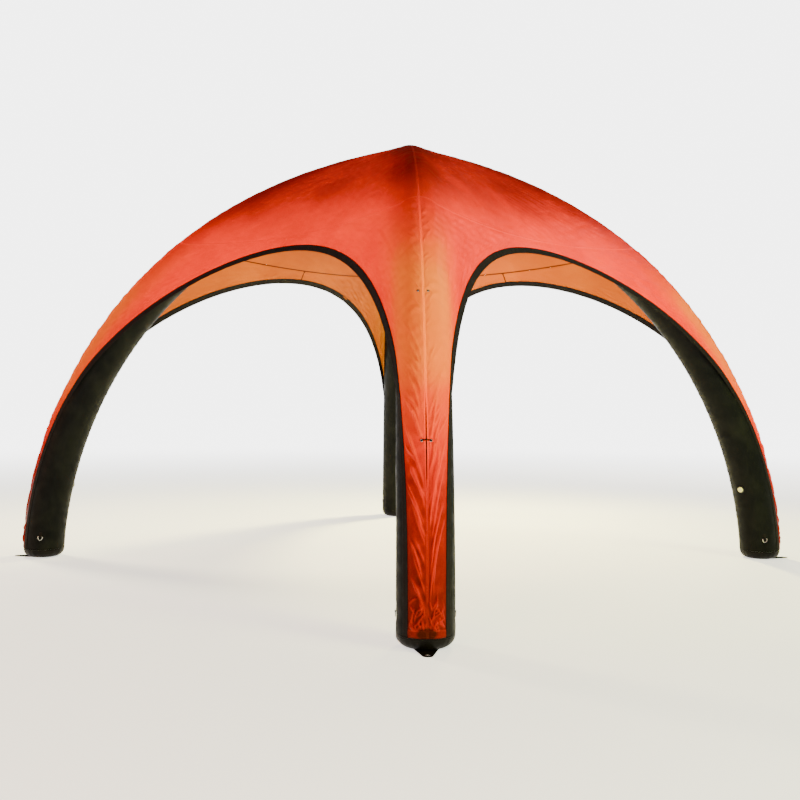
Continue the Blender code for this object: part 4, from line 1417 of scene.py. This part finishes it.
@dataclass
class AirTubes:
    """The four air tubes inside the sleeves, closed at both ends."""

    shape: RoofShape
    palette: Palette
    radius: float = 0.143
    start: float = 0.026
    end_height: float = 0.04
    end_radius: float = 0.075
    mitre_gap: float = 0.008
    columns: int = 48
    rows: int = 120

    def tube(self, leg: str) -> bpy.types.Object:
        """One air tube, with a rounded foot and closed at the mitre.

        Args:
            leg: the leg that it stands in.

        Returns:
            The object.
        """
        curve = self.shape.leg
        angle = np.linspace(0.0, 2 * math.pi, self.columns + 1)
        last = curve.mitre_run(angle, self.radius, self.mitre_gap)
        share = np.linspace(0.0, 1.0, self.rows + 1)[:, None]
        first = self.start + self.end_height
        run = first + (last - first) * share
        points = curve.tube(run, angle + 0 * run, self.radius)
        bend = np.linspace(0.0, math.pi / 2, 9)[:-1]
        foot = curve.at(np.array(self.start))[0]
        rings = []
        for turn in bend:
            reach = self.end_radius + (self.radius - self.end_radius) * math.sin(turn)
            height = self.start + self.end_height * (1 - math.cos(turn))
            rings.append(np.stack([foot + reach * np.cos(angle), reach * np.sin(angle),
                                   height + 0 * angle], axis=-1))
        bottom = rings[0].mean(axis=0) + 0 * rings[0]
        end = points[-1].mean(axis=0) + 0 * points[-1]
        grid = np.concatenate([[bottom], rings, points, [end]])
        skin = Skin()
        skin.grid(leg_to_world(grid, leg), {
            "u": angle * self.radius + 0 * grid[..., 0],
            "v": np.arange(len(grid))[:, None] * self.end_height + 0 * grid[..., 0]})
        return skin.build(f"air_tube_{leg}", [self.palette.film], slot=Slot.FILM,
                          replaces=[f"air_bladder_{leg}"])

    def build(self) -> None:
        """Makes the four air tubes."""
        for leg in LEGS:
            self.tube(leg)


def lathe(skin: Skin, fitting: Fitting, profile: Sequence[tuple[float, float]], sides: int,
          slot: int = 0, ribs: int = 0, rib_rows: tuple[int, int] = (0, 0),
          rib_depth: float = 0.0) -> None:
    """Adds a turned form round a fitting's outward axis.

    Args:
        skin: the mesh that it is added to.
        fitting: its place; heights are along the outward direction.
        profile: (radius, height) points, from the inside of the top round to the bottom.
        sides: steps round the axis.
        slot: material slot.
        ribs: number of grip ribs, or 0.
        rib_rows: first and last row of the profile that has ribs.
        rib_depth: depth of the grooves between them.
    """
    turn = np.linspace(0.0, 2 * math.pi, sides + 1)
    rows = np.array(profile)
    radius = np.repeat(rows[:, :1], sides + 1, axis=1)
    if ribs:
        cut = rib_depth * smooth(np.cos(ribs * turn), 0.3, -0.3)
        radius[rib_rows[0]:rib_rows[1] + 1] -= cut
    points = np.stack([radius * np.cos(turn), rows[:, 1:] + 0 * radius, radius * np.sin(turn)],
                      axis=-1)
    skin.grid(fitting.world(points), {"u": turn * rows[:, :1].max() + 0 * radius,
                                      "v": running(rows)[:, None] + 0 * radius,
                                      "edge": FAR, "seam": FAR}, slot=slot)


@dataclass
class Feet:
    """Domed foot cups, peg tongues with their big eyelets, rings and the tabs that hold them."""

    shape: RoofShape
    palette: Palette
    cup_height: float = 0.065
    cup_size: float = 0.30
    flat_radius: float = 0.080
    gather: float = 0.0012
    tongue_reach: float = 0.225
    tip_radius: float = 0.028
    tip_angle: float = math.radians(65)
    root_width: float = 0.130
    root_radius: float = 0.0876
    tongue_wave: float = 0.0006
    thickness: float = 0.003
    hole_radius: float = 0.0075
    eyelet_radius: float = 0.0135
    ring_width: float = 0.040
    ring_drop: float = 0.030
    wire: float = 0.0025
    corner: float = 0.0022
    tab_width: float = 0.022
    tab_length: float = 0.034
    tab_thickness: float = 0.0015
    tab_turn: float = math.radians(292.0)
    tab_play: float = 0.0004
    tab_edge: float = 0.0006

    def foot(self, leg: str) -> Fitting:
        """Ground place of a leg: across is outward from the tent and out is up.

        Args:
            leg: the leg.

        Returns:
            The place.
        """
        turn = math.radians(LEGS[leg])
        place = leg_to_world(np.array([self.shape.leg.values[0, 0], 0.0, 0.0]), leg)
        return Fitting(place, np.array([math.cos(turn), math.sin(turn), 0.0]),
                       np.array([0.0, 0.0, 1.0]))

    def cup(self, leg: str) -> bpy.types.Object:
        """Foot cup: a flat base and a quarter-round side with faint gathers, up to the sleeve.

        Args:
            leg: the leg that stands on it.

        Returns:
            The object.
        """
        curve = self.shape.leg
        angle = np.linspace(0.0, 2 * math.pi, 97)
        bend = np.linspace(0.0, math.pi / 2, 15)
        bulge = curve.radius - self.flat_radius
        radius = np.concatenate([np.linspace(0.0, self.flat_radius, 9)[:-1],
                                 self.flat_radius + bulge * np.sin(bend)])
        height = np.concatenate([np.zeros(8), self.cup_height * (1 - np.cos(bend))])
        radius, height = radius[:, None] + 0 * angle, height[:, None] + 0 * angle
        around = angle * curve.radius
        gather = swell(np.stack([around, 0 * angle], axis=-1), 0.035, 70 + int(LEGS[leg]))
        dome = smooth(height, 0.008, 0.03) * smooth(height, self.cup_height, 0.045)
        radius = radius + self.gather * dome * gather
        local = np.stack([radius * np.cos(angle), height, -radius * np.sin(angle)], axis=-1)
        skin = Skin()
        skin.grid(self.foot(leg).world(local), {
            "u": around + 0 * radius, "v": radius + height,
            "seam": self.cup_height - height})
        thing = skin.build(f"foot_cup_{leg}", [self.palette.foot],
                           inside=tuple(self.foot(leg).world(np.array([0.0, 0.06, 0.0]))),
                           slot=Slot.FOOT, replaces=[f"foot_cap_{leg}"])
        declare_sheet(thing, self.cup_size, self.cup_size)
        return thing

    def tongue(self, leg: str) -> bpy.types.Object:
        """Peg tongue: flat webbing that narrows from the cup to a round tip, with a hole.

        Its faces run from the hole out to the outline in rings, and its walls close the two.

        Args:
            leg: the leg that it lies beside.

        Returns:
            The object.
        """
        middle = self.tongue_reach - self.tip_radius
        half = math.asin(self.root_width / 2 / self.root_radius)
        arc = np.linspace(half, -half, 25)
        root = self.root_radius * np.stack([np.cos(arc), np.sin(arc)], axis=-1)
        tip_turn = np.linspace(-self.tip_angle, self.tip_angle, 33)
        tip = np.stack([middle + self.tip_radius * np.cos(tip_turn),
                        self.tip_radius * np.sin(tip_turn)], axis=-1)
        side = np.linspace(root[-1], tip[0], 30)[1:-1]
        outline = np.vstack([root, side, tip, (side * [1, -1])[::-1], root[:1]])
        direction = np.arctan2(outline[:, 1], outline[:, 0] - middle)
        hole = np.stack([middle + self.hole_radius * np.cos(direction),
                         self.hole_radius * np.sin(direction)], axis=-1)
        share = np.array([0.0, 0.25, 0.5, 0.75, 0.93, 0.98, 1.0])[:, None, None]
        flat = hole + (outline - hole) * share
        edge = np.linalg.norm(outline - hole, axis=-1) * (1 - share[..., 0])
        top = self.thickness - np.array([0, 0, 0, 0, 0, 0.0004, 0.0011])[:, None]
        waves = swell(flat, 0.06, 90 + int(LEGS[leg])) * smooth(edge, 0.002, 0.02)
        top = top + 0.8 * np.minimum(self.tongue_wave * waves, 0.0)
        skin = Skin()
        for height, flip in ((top, False), (0 * top, True)):
            local = np.stack([flat[..., 0], height, -flat[..., 1]], axis=-1)
            skin.grid(self.foot(leg).world(local), {
                "u": flat[..., 1], "v": flat[..., 0], "edge": edge, "seam": FAR}, flip=flip)
        for line, rim, flip in ((outline, top[-1], True), (hole, top[0], False)):
            wall = np.stack([0 * rim, rim])
            local = np.stack([line[:, 0] + 0 * wall, wall, -line[:, 1] + 0 * wall], axis=-1)
            skin.grid(self.foot(leg).world(local), {
                "u": running(outline) + 0 * wall, "v": wall, "edge": FAR, "seam": FAR}, flip=flip)
        return skin.build(f"tongue_{leg}", [self.palette.webbing],
                          inside=tuple(self.foot(leg).world(np.array([0.15, 0.0015, 0.0]))),
                          slot=Slot.WEBBING, replaces=[f"peg_tongue_{leg}"])

    def eyelet(self, leg: str) -> bpy.types.Object:
        """Large peg eyelet, rolled over the edge of the tongue's hole.

        Args:
            leg: the leg.

        Returns:
            The object.
        """
        foot = self.foot(leg)
        middle = self.tongue_reach - self.tip_radius
        place = Fitting(foot.world(np.array([middle, self.thickness, 0.0])), foot.across, foot.out)
        skin = Skin()
        lathe(skin, place, rolled(self.hole_radius - 0.0008, self.eyelet_radius, 0.0019,
                                  -0.0024), 48)
        return skin.build(f"peg_eyelet_{leg}", [self.palette.steel], slot=Slot.STEEL,
                          inside=tuple(place.world(np.array([0.0, -0.004, 0.0]))))

    def ring(self, leg: str, label: str, fitting: Fitting) -> bpy.types.Object:
        """D-ring of round wire, hanging from its straight bar.

        A circle is carried along the D's path, a bar and half an ellipse.

        Args:
            leg: the leg.
            label: left or right, seen from outside.
            fitting: place of the bar.

        Returns:
            The object.
        """
        half = self.ring_width / 2 - self.wire
        drop = self.ring_drop - self.wire
        turn = np.linspace(0.0, math.pi, 41)
        bow = np.stack([half * np.cos(turn), -drop * np.sin(turn)], axis=-1)
        end = half - self.corner
        bar = np.stack([np.linspace(-end, end, 15), np.zeros(15)], axis=-1)
        path = np.vstack([bar, bow[2:-2], bar[:1]])
        path = np.stack([path[:, 0], np.zeros(len(path)), path[:, 1]], axis=-1)
        along = unit(np.roll(path[:-1], -1, axis=0) - np.roll(path[:-1], 1, axis=0))
        along = np.vstack([along, along[:1]])
        out = np.array([0.0, 1.0, 0.0])
        around = np.linspace(0.0, 2 * math.pi, 13)[:, None, None]
        points = path + self.wire * (np.cos(around) * out + np.sin(around) * np.cross(along, out))
        skin = Skin()
        skin.grid(fitting.world(points), {"u": around[..., 0] * self.wire + 0 * points[..., 0],
                                          "v": running(path) + 0 * points[..., 0]})
        node = f"foot_ring_{leg}_{label}"
        return skin.build(f"ring_{leg}_{label}", [self.palette.steel], body=node,
                          inside=tuple(fitting.world(np.array([0.0, 0.0, 0.0]))),
                          slot=Slot.STEEL, replaces=[node])

    def tab(self, leg: str, label: str, fitting: Fitting) -> bpy.types.Object:
        """Webbing tab: flat on the sleeve, then folded round the ring's bar.

        A flat section with soft edges is carried along a straight run and an arc.

        Args:
            leg: the leg.
            label: left or right, seen from outside.
            fitting: place of the ring's bar.

        Returns:
            The object.
        """
        bend = self.wire + self.tab_play + self.tab_thickness / 2
        turn = math.pi + np.linspace(0.0, self.tab_turn, 25)
        flat = np.linspace(self.tab_length, 0.0, 12)[:-1]
        path = np.vstack([np.stack([np.full(len(flat), -bend), flat], axis=-1),
                          np.stack([bend * np.cos(turn), bend * np.sin(turn)], axis=-1)])
        along = unit(np.gradient(path, axis=0))
        off = np.stack([-along[:, 1], along[:, 0]], axis=-1)
        half = self.tab_width / 2
        flank = half - self.tab_edge
        section = [(-half, -0.5), (-flank, -1), (flank, -1), (half, -0.5), (half, 0.5),
                   (flank, 1), (-flank, 1), (-half, 0.5), (-half, -0.5)]
        x, layer = np.array(section).T
        length = running(path)[:, None]
        place = path[:, None] + off[:, None] * layer[:, None] * self.tab_thickness / 2
        points = np.concatenate([(x + 0 * length)[..., None], place], axis=-1)
        skin = Skin()
        skin.grid(fitting.world(points), {"u": x, "v": length, "edge": half - np.abs(x),
                                          "seam": FAR})
        for row, flip in ((0, True), (-1, False)):
            ring = points[row]
            centre = np.repeat(ring.mean(axis=0)[None], len(ring), axis=0)
            skin.grid(fitting.world(np.stack([centre, ring])), {
                "u": x, "v": 0.0, "edge": FAR, "seam": FAR}, flip=flip)
        return skin.build(f"tab_{leg}_{label}", [self.palette.webbing], slot=Slot.WEBBING,
                          replaces=[f"ring_tab_{leg}_{label}"])

    def build(self) -> None:
        """Makes the feet of the four legs."""
        for leg in LEGS:
            self.cup(leg)
            self.tongue(leg)
            self.eyelet(leg)
            for label, fitting in (("left", RING), ("right", RING.mirrored())):
                self.ring(leg, label, fitting.on(leg))
                self.tab(leg, label, fitting.on(leg))


def rolled(hole: float, radius: float, height: float, depth: float) -> list[tuple[float, float]]:
    """Profile of an eyelet: up its hole, over a rounded rim and down to the cloth.

    Args:
        hole: radius of the hole.
        radius: outer radius.
        height: height of the rim.
        depth: height at which the wall of the hole starts.

    Returns:
        Points of radius and height.
    """
    turn = np.linspace(math.pi, 0.0, 13)
    middle, half = (hole + radius) / 2, (radius - hole) / 2
    rim = [(middle + half * math.cos(a), height * math.sin(a) ** 0.7) for a in turn]
    return [(hole, depth)] + rim


@dataclass
class Bindings:
    """Black webbing along each arch from hem to hem."""

    shape: RoofShape
    palette: Palette
    width: float = 0.032
    thickness: float = 0.003
    proud: float = 0.0018
    soft_edge: float = 0.010
    turn_run: float = 0.25
    wave: float = 0.0005
    facing_row: int = 300

    def rails(self) -> tuple[np.ndarray, ...]:
        """The lines that the webbing of half an arch follows.

        Returns:
            The cloth's edge, its outward normal, the direction down past the edge, the bend
            round the tube, and how far the webbing covers the cloth.
        """
        shape = self.shape
        edge, run, across, past = shape.arch_line()
        normal = unit(shape.point(run, across, shape.outer + 0.002) - edge)
        mirrored = edge[-2] * np.array([-1.0, 1.0, 1.0])
        along = unit(np.gradient(np.vstack([edge, mirrored]), axis=0)[:-1])
        down = unit(np.cross(along, normal))
        down = -down if down[-1, 2] > 0 else down
        bend = (1 - smooth(past, 0.0, self.turn_run)) / shape.inner
        return edge, normal, down, bend, shape.cover(past)

    def band(self, side: str) -> bpy.types.Object:
        """The webbing of one arch, folded over the edge of the cloth.

        A closed section is carried along the edge. Low on the leg it bends round the tube, and
        higher up it lies flat.

        Args:
            side: the side of the tent.

        Returns:
            The object.
        """
        edge, normal, down, bend, cover = self.rails()
        top, far, soft = self.thickness, self.width, self.soft_edge
        high = top + self.proud
        # Share of the cover up the cloth, distance below the edge, and height over the cloth.
        section = [(1, 0.0, 0.0003), (1, 0.0, high - 0.0006), (1, 0.0008, high),
                   (0.5, 0.0, high), (0, 0.0, high), (0, soft, top - 0.0003),
                   (0, far - soft, top - 0.0003), (0, far - 0.001, top), (0, far, top - 0.0008),
                   (0, far, 0.0008), (0, far - 0.001, 0.0), (0, soft, 0.0), (0, 0.0, 0.0),
                   (0.5, 0.0, 0.0), (1, 0.0, 0.0), (1, 0.0, 0.0003)]
        share, below, lift = np.array(section).T
        reach = below - share * cover[:, None]
        turn, curved = reach * bend[:, None], bend[:, None] > 1e-3
        curve = np.maximum(bend, 1e-3)[:, None]
        out = np.where(curved, np.sin(turn) / curve, reach)[..., None]
        back = np.where(curved, (1 - np.cos(turn)) / curve, 0.0)[..., None]
        normals, downs = normal[:, None], down[:, None]
        tilt = unit(normals * np.cos(turn)[..., None] + downs * np.sin(turn)[..., None])
        half = edge[:, None] + downs * out - normals * back + tilt * lift[:, None]
        border = np.minimum(reach + cover[:, None], far - reach)
        skin = Skin()
        for hand in (1, -1):
            grid = panel_to_world(half, side, hand)
            wave = np.maximum(self.wave * swell(grid, 0.12, 40), -0.8 * self.wave)
            skin.grid(grid, {"u": reach, "v": running(edge)[:, None], "edge": border,
                             "seam": FAR, "lift": self.wave + wave}, flip=hand < 0)
            ring = grid[0]
            centre = np.repeat(ring[:-1].mean(axis=0)[None], len(ring), axis=0)
            skin.grid(np.stack([centre, ring]), {"u": reach[0], "v": 0.0, "edge": FAR,
                                                 "seam": FAR}, flip=hand > 0)
        thing = skin.build(f"binding_{side}", [self.palette.webbing], slot=Slot.WEBBING,
                           replaces=[f"arch_binding_{side}"])
        self._face_out(thing, panel_to_world(edge[self.facing_row], side, 1),
                       panel_to_world(normal[self.facing_row], side, 1))
        return thing

    def _face_out(self, thing: bpy.types.Object, place: np.ndarray, normal: np.ndarray) -> None:
        """Turns the faces over if the outermost ones near a place look inwards.

        Args:
            thing: the webbing.
            place: a point on its edge.
            normal: the outward direction there.
        """
        normals, centres = face_directions(thing.data)
        near = np.linalg.norm(centres - place, axis=1) < 0.05
        rank = np.argsort(((centres - place) @ normal)[near])[-6:]
        if float((normals[near][rank] @ normal).sum()) < 0:
            thing.data.flip_normals()

    def build(self) -> None:
        """Makes the bindings of the four arches."""
        for side in SIDES:
            self.band(side)


@dataclass
class Valves:
    """Air valve of each leg: clamped body, sprung pin and a ribbed screw cap."""

    palette: Palette
    sides: int = 60
    ribs: int = 30
    rib_rows: tuple[int, int] = (5, 8)
    rib_depth: float = 0.0006

    def body(self, leg: str) -> bpy.types.Object:
        """Flange, collar, bore and the bridge that guides the pin, turned from one outline."""
        profile = [(0.006, -0.0125), (0.006, -0.0105), (0.009, -0.0105), (0.009, -0.0045),
                   (0.00235, -0.0045), (0.00235, -0.003), (0.009, -0.003), (0.009, 0.0079),
                   (0.0094, 0.0083), (0.0146, 0.0083), (0.015, 0.0079), (0.015, 0.0023),
                   (0.0272, 0.0023), (0.028, 0.0017), (0.028, 0.0003), (0.0125, 0.0003),
                   (0.0125, -0.0031), (0.022, -0.0031), (0.022, -0.0051), (0.011, -0.0051),
                   (0.011, -0.0126), (0.006, -0.0126)]
        return self._turned(leg, "valve", "valve_body", Slot.BLACK, profile)

    def pin(self, leg: str) -> bpy.types.Object:
        """Press button, stem and sealing disc, turned from one outline."""
        profile = [(0.0, 0.0078), (0.0047, 0.0078), (0.0055, 0.0072), (0.0055, 0.006),
                   (0.002, 0.006), (0.002, -0.0129), (0.0085, -0.0129), (0.0085, -0.0149),
                   (0.0, -0.0149)]
        return self._turned(leg, "pin", "valve_pin", Slot.STEEL, profile)

    def cap(self, leg: str) -> bpy.types.Object:
        """Pale screw cap with grip ribs round its side and a dished face."""
        profile = [(0.0, 0.0106), (0.012, 0.0106), (0.0136, 0.0110), (0.0172, 0.0111),
                   (0.0187, 0.0108), (0.0196, 0.0100), (0.0200, 0.0088), (0.0200, 0.0038),
                   (0.0197, 0.0027), (0.0192, 0.0026), (0.0156, 0.0026), (0.0154, 0.0030),
                   (0.0154, 0.0086), (0.0, 0.0086)]
        return self._turned(leg, "cap", "valve_cap", Slot.YELLOW, profile, self.ribs)

    def _turned(self, leg: str, name: str, node: str, slot: Slot,
                profile: Sequence[tuple[float, float]], ribs: int = 0) -> bpy.types.Object:
        """One piece turned round the valve's axis.

        Args:
            leg: the leg that the valve is in.
            name: name of the piece, without the leg.
            node: name of the node that it stands for, without the leg.
            slot: its slot, which also picks its material.
            profile: its outline.
            ribs: number of grip ribs, or 0.

        Returns:
            The object.
        """
        finish = {Slot.BLACK: self.palette.black, Slot.STEEL: self.palette.steel,
                  Slot.YELLOW: self.palette.yellow}[slot]
        skin = Skin()
        lathe(skin, VALVE.on(leg), profile, 4 * ribs or self.sides, ribs=ribs,
              rib_rows=self.rib_rows, rib_depth=self.rib_depth)
        fixed = slot is Slot.BLACK
        return skin.build(f"{name}_{leg}", [finish], body=BODY if fixed else f"{node}_{leg}",
                          slot=slot, replaces=[f"{node}_{leg}"])

    def build(self) -> None:
        """Makes the valves of the four legs."""
        for leg in LEGS:
            self.body(leg)
            self.pin(leg)
            self.cap(leg)


@dataclass
class Eyelets:
    """Small eyelets in pairs beside the ridge seams, and the cord that ties each lower pair."""

    roof: Roof
    palette: Palette
    hole: float = 0.0042
    radius: float = 0.0085
    height: float = 0.0018
    sides: int = 32
    cord_diameter: float = 0.007
    cord_low: float = 0.0005
    cord_rise: float = 0.0100

    def place(self, leg: str, side: int, run: float, offset: float, rise: float) -> Fitting:
        """Place on the cloth beside a ridge, at a height above its face.

        Args:
            leg: the leg.
            side: 1 or -1 for the two sides of the ridge.
            run: running length.
            offset: distance from the ridge.
            rise: height above the cloth's face.

        Returns:
            The place, with the cloth's outward direction.
        """
        shape = self.roof.shape
        angle = offset / shape.outer
        base = shape.leg.tube(np.array(run), np.array(angle), shape.outer + rise)
        lift = shape.leg.tube(np.array(run), np.array(angle), shape.outer + rise + 0.01)
        out = unit(leg_to_world(lift, leg, side) - leg_to_world(base, leg, side))
        return Fitting(leg_to_world(base, leg, side), unit(np.cross([0.0, 0.0, 1.0], out)), out)

    def eyelets(self, leg: str) -> bpy.types.Object:
        """The four eyelets of one leg, each with a dark disc in its hole.

        Args:
            leg: the leg.

        Returns:
            The object.
        """
        skin = Skin()
        for run, offset in zip(self.roof.eyelet_runs, self.roof.eyelet_side):
            for side in (1, -1):
                place = self.place(leg, side, run, offset, 0.0002)
                rim = rolled(self.hole, self.radius, self.height, 0.0)
                lathe(skin, place, rim, self.sides)
                disc = [(0.0, 0.0003), (self.hole + 0.0004, 0.0003)]
                lathe(skin, place, disc, self.sides, slot=1)
        return skin.build(f"eyelets_{leg}", [self.palette.steel, self.palette.sleeve],
                          slot=Slot.STEEL)

    def cord(self, leg: str) -> bpy.types.Object:
        """Short cord over the ridge, from one lower eyelet into the other.

        Its line follows the tube and rises between its ends like a power of a sine.

        Args:
            leg: the leg.

        Returns:
            The object.
        """
        run, offset = self.roof.eyelet_runs[0], self.roof.eyelet_side[0]
        turn = np.linspace(-1.0, 1.0, 25)
        arc = np.sin((1 - np.abs(turn)) * math.pi / 2) ** 0.8
        shape = self.roof.shape
        radius = shape.outer + self.cord_low + self.cord_rise * arc
        base = shape.leg.tube(np.full(len(turn), run), offset / shape.outer * turn, radius)
        points = leg_to_world(base, leg)
        curve = bpy.data.curves.new(f"tie_cord_{leg}", "CURVE")
        curve.dimensions = "3D"
        curve.bevel_depth = self.cord_diameter / 2
        curve.bevel_resolution = 4
        curve.use_fill_caps = True
        spline = curve.splines.new("POLY")
        spline.points.add(len(points) - 1)
        spline.points.foreach_set("co", np.column_stack([points, np.ones(len(points))]).ravel())
        spline.use_smooth = True
        thing = place_object(f"tie_cord_{leg}", curve, [self.palette.webbing], BODY,
                             [])
        return thing

    def build(self) -> None:
        """Makes the eyelets and cords of the four legs."""
        for leg in LEGS:
            self.eyelets(leg)
            self.cord(leg)


@dataclass(frozen=True)
class Lamp:
    """Round area light that the camera doesn't see.

    Size is its diameter in metres and power is in watts.
    """

    name: str
    place: tuple[float, float, float]
    target: tuple[float, float, float]
    size: float
    power: float
    colour: str
    glossy: bool = False
    diffuse: bool = True

    def build(self) -> None:
        """Puts it at its place, turned to its target."""
        data = bpy.data.lights.new(self.name, "AREA")
        data.shape = "DISK"
        data.size, data.energy, data.color = self.size, self.power, linear(self.colour)[:3]
        lamp = bpy.data.objects.new(self.name, data)
        back = unit(np.array(self.place) - np.array(self.target))
        right = unit(np.cross([0.0, 0.0, 1.0], back))
        matrix = np.eye(4)
        matrix[:3, :3] = np.stack([right, np.cross(back, right), back], axis=1)
        matrix[:3, 3] = self.place
        lamp.matrix_world = Matrix(matrix.tolist())
        lamp.visible_camera = False
        lamp.visible_glossy, lamp.visible_diffuse = self.glossy, self.diffuse
        bpy.context.scene.collection.objects.link(lamp)


# Low warm light from the front, yellow-green light on the right side, and high lamps over the
# far sides that shine down through the cloth. The rim lamp only shows in glossy surfaces.
LAMPS = (
    Lamp("front", (3.0, -10.0, 3.2), (1.0, -1.4, 1.2), 3.0, 430.0, "ffa070"),
    Lamp("left", (-3.5, -10.5, 2.6), (0.4, -1.6, 1.0), 1.6, 280.0, "ff9c68", glossy=True),
    Lamp("right", (12.0, -0.4, 0.9), (1.6, -1.4, 1.4), 2.0, 3000.0, "ecff78"),
    Lamp("right_raised", (10.0, 1.5, 6.0), (1.0, -0.8, 1.6), 2.0, 330.0, "f0ffa0", glossy=True),
    Lamp("right_high", (7.5, 0.0, 9.5), (1.4, -1.2, 1.6), 2.0, 300.0, "fff4b0"),
    Lamp("top", (0.0, 0.0, 9.0), (0.0, 0.01, 3.0), 4.0, 110.0, "fff4e6"),
    Lamp("north", (-3.0, 10.0, 8.0), (-0.5, 1.4, 2.0), 3.0, 640.0, "fff0c0"),
    Lamp("west", (-4.4, -1.6, 4.2), (-2.0, -1.5, 2.0), 1.0, 330.0, "fff0b8"),
    Lamp("rim", (3.5, 6.5, 7.5), (1.0, -0.4, 2.8), 3.0, 90.0, "d8e0ff", glossy=True,
         diffuse=False),
    Lamp("northwest", (-1.2, 3.6, 3.8), (-1.3, 1.75, 2.05), 0.6, 800.0, "fff290"),
)


@dataclass
class Studio:
    """Camera at the photo's place, a pale floor that gives off light, white room and lamps."""

    eye: tuple[float, float, float] = (5.2468, -5.6410, 1.2115)
    yaw: float = math.radians(43.3187)
    pitch: float = 0.0034
    roll: float = 0.007
    lens: float = 43.84
    sensor: float = 36.0
    view_end: float = 200.0
    floor_half: float = 60.0
    floor_glow: tuple[float, ...] = (2.0, 20.0, 1.25, 5.0)
    seen_white: float = 5.0
    room: float = 0.10

    def camera(self) -> None:
        """Camera looking at the front leg from eye height."""
        yaw, pitch = self.yaw, self.pitch
        forward = np.array([-math.sin(yaw) * math.cos(pitch), math.cos(yaw) * math.cos(pitch),
                            math.sin(pitch)])
        right = np.array([math.cos(yaw), math.sin(yaw), 0.0])
        up = np.cross(right, forward)
        c, s = math.cos(self.roll), math.sin(self.roll)
        axes = np.stack([c * right + s * up, -s * right + c * up, -forward], axis=1)
        matrix = np.eye(4)
        matrix[:3, :3], matrix[:3, 3] = axes, self.eye
        data = bpy.data.cameras.new("camera")
        data.sensor_width, data.lens = self.sensor, self.lens
        data.clip_end = self.view_end
        camera = bpy.data.objects.new("camera", data)
        camera.matrix_world = Matrix(matrix.tolist())
        bpy.context.scene.collection.objects.link(camera)
        bpy.context.scene.camera = camera

    def floor(self) -> None:
        """Plain pale floor under the feet, which gives off more light far away."""
        half = self.floor_half
        mesh = bpy.data.meshes.new("floor")
        mesh.from_pydata([(-half, -half, 0), (half, -half, 0), (half, half, 0), (-half, half, 0)],
                         [], [(0, 1, 2, 3)])
        s = Shader("painted_studio_floor")
        stain = s.add("TexNoise", {"Vector": s.place, "Scale": 0.4, "Detail": 2.0})
        away = s.add("VectorMath", [s.place], out="Value", operation="LENGTH")
        mesh.materials.append(s.finish(s.add("BsdfPrincipled", {
            "Base Color": s.add("ValToRGB", [stain], stops=[(0.3, "f6f6f6"), (0.7, "f8f8f8")]),
            "Roughness": 0.9, "Emission Color": (1, 1, 1, 1),
            "Emission Strength": s.add("MapRange", [away, *self.floor_glow], **SMOOTHLY)})))
        thing = bpy.data.objects.new("floor", mesh)
        bpy.context.scene.collection.objects.link(thing)

    def world(self) -> None:
        """White where the camera sees it; for all else a dim room, darker above than below."""
        s = Shader("white_room", world=True)
        height = s.add("SeparateXYZ", [s.add("TexCoord", out="Generated")], out=2)
        shade = s.add("ValToRGB", [height], stops=[(0.15, "ffffff"), (0.85, "817e7c")])
        room = s.add("Background", [shade, self.room])
        seen = s.add("Background", [linear("ffffff"), self.seen_white])
        by_camera = s.add("LightPath", out="Is Camera Ray")
        bpy.context.scene.world = s.finish(s.add("MixShader", [by_camera, room, seen]))

    def build(self) -> None:
        """Sets up the studio."""
        self.camera()
        self.floor()
        self.world()
        for lamp in LAMPS:
            lamp.build()


def main() -> None:
    """Builds the camera, the sub-assemblies and the studio in order."""
    logging.basicConfig(level=logging.INFO, format="%(message)s")
    studio = Studio()
    studio.build()
    palette = Palette()
    shape = RoofShape(LegCurve())
    roof = Roof(shape, palette)
    Eyelets(roof, palette).build()
    Feet(shape, palette).build()
    Sleeves(shape, palette).build()
    AirTubes(shape, palette).build()
    roof.build()
    Bindings(shape, palette).build()
    Valves(palette).build()


if __name__ == "__main__":
    main()
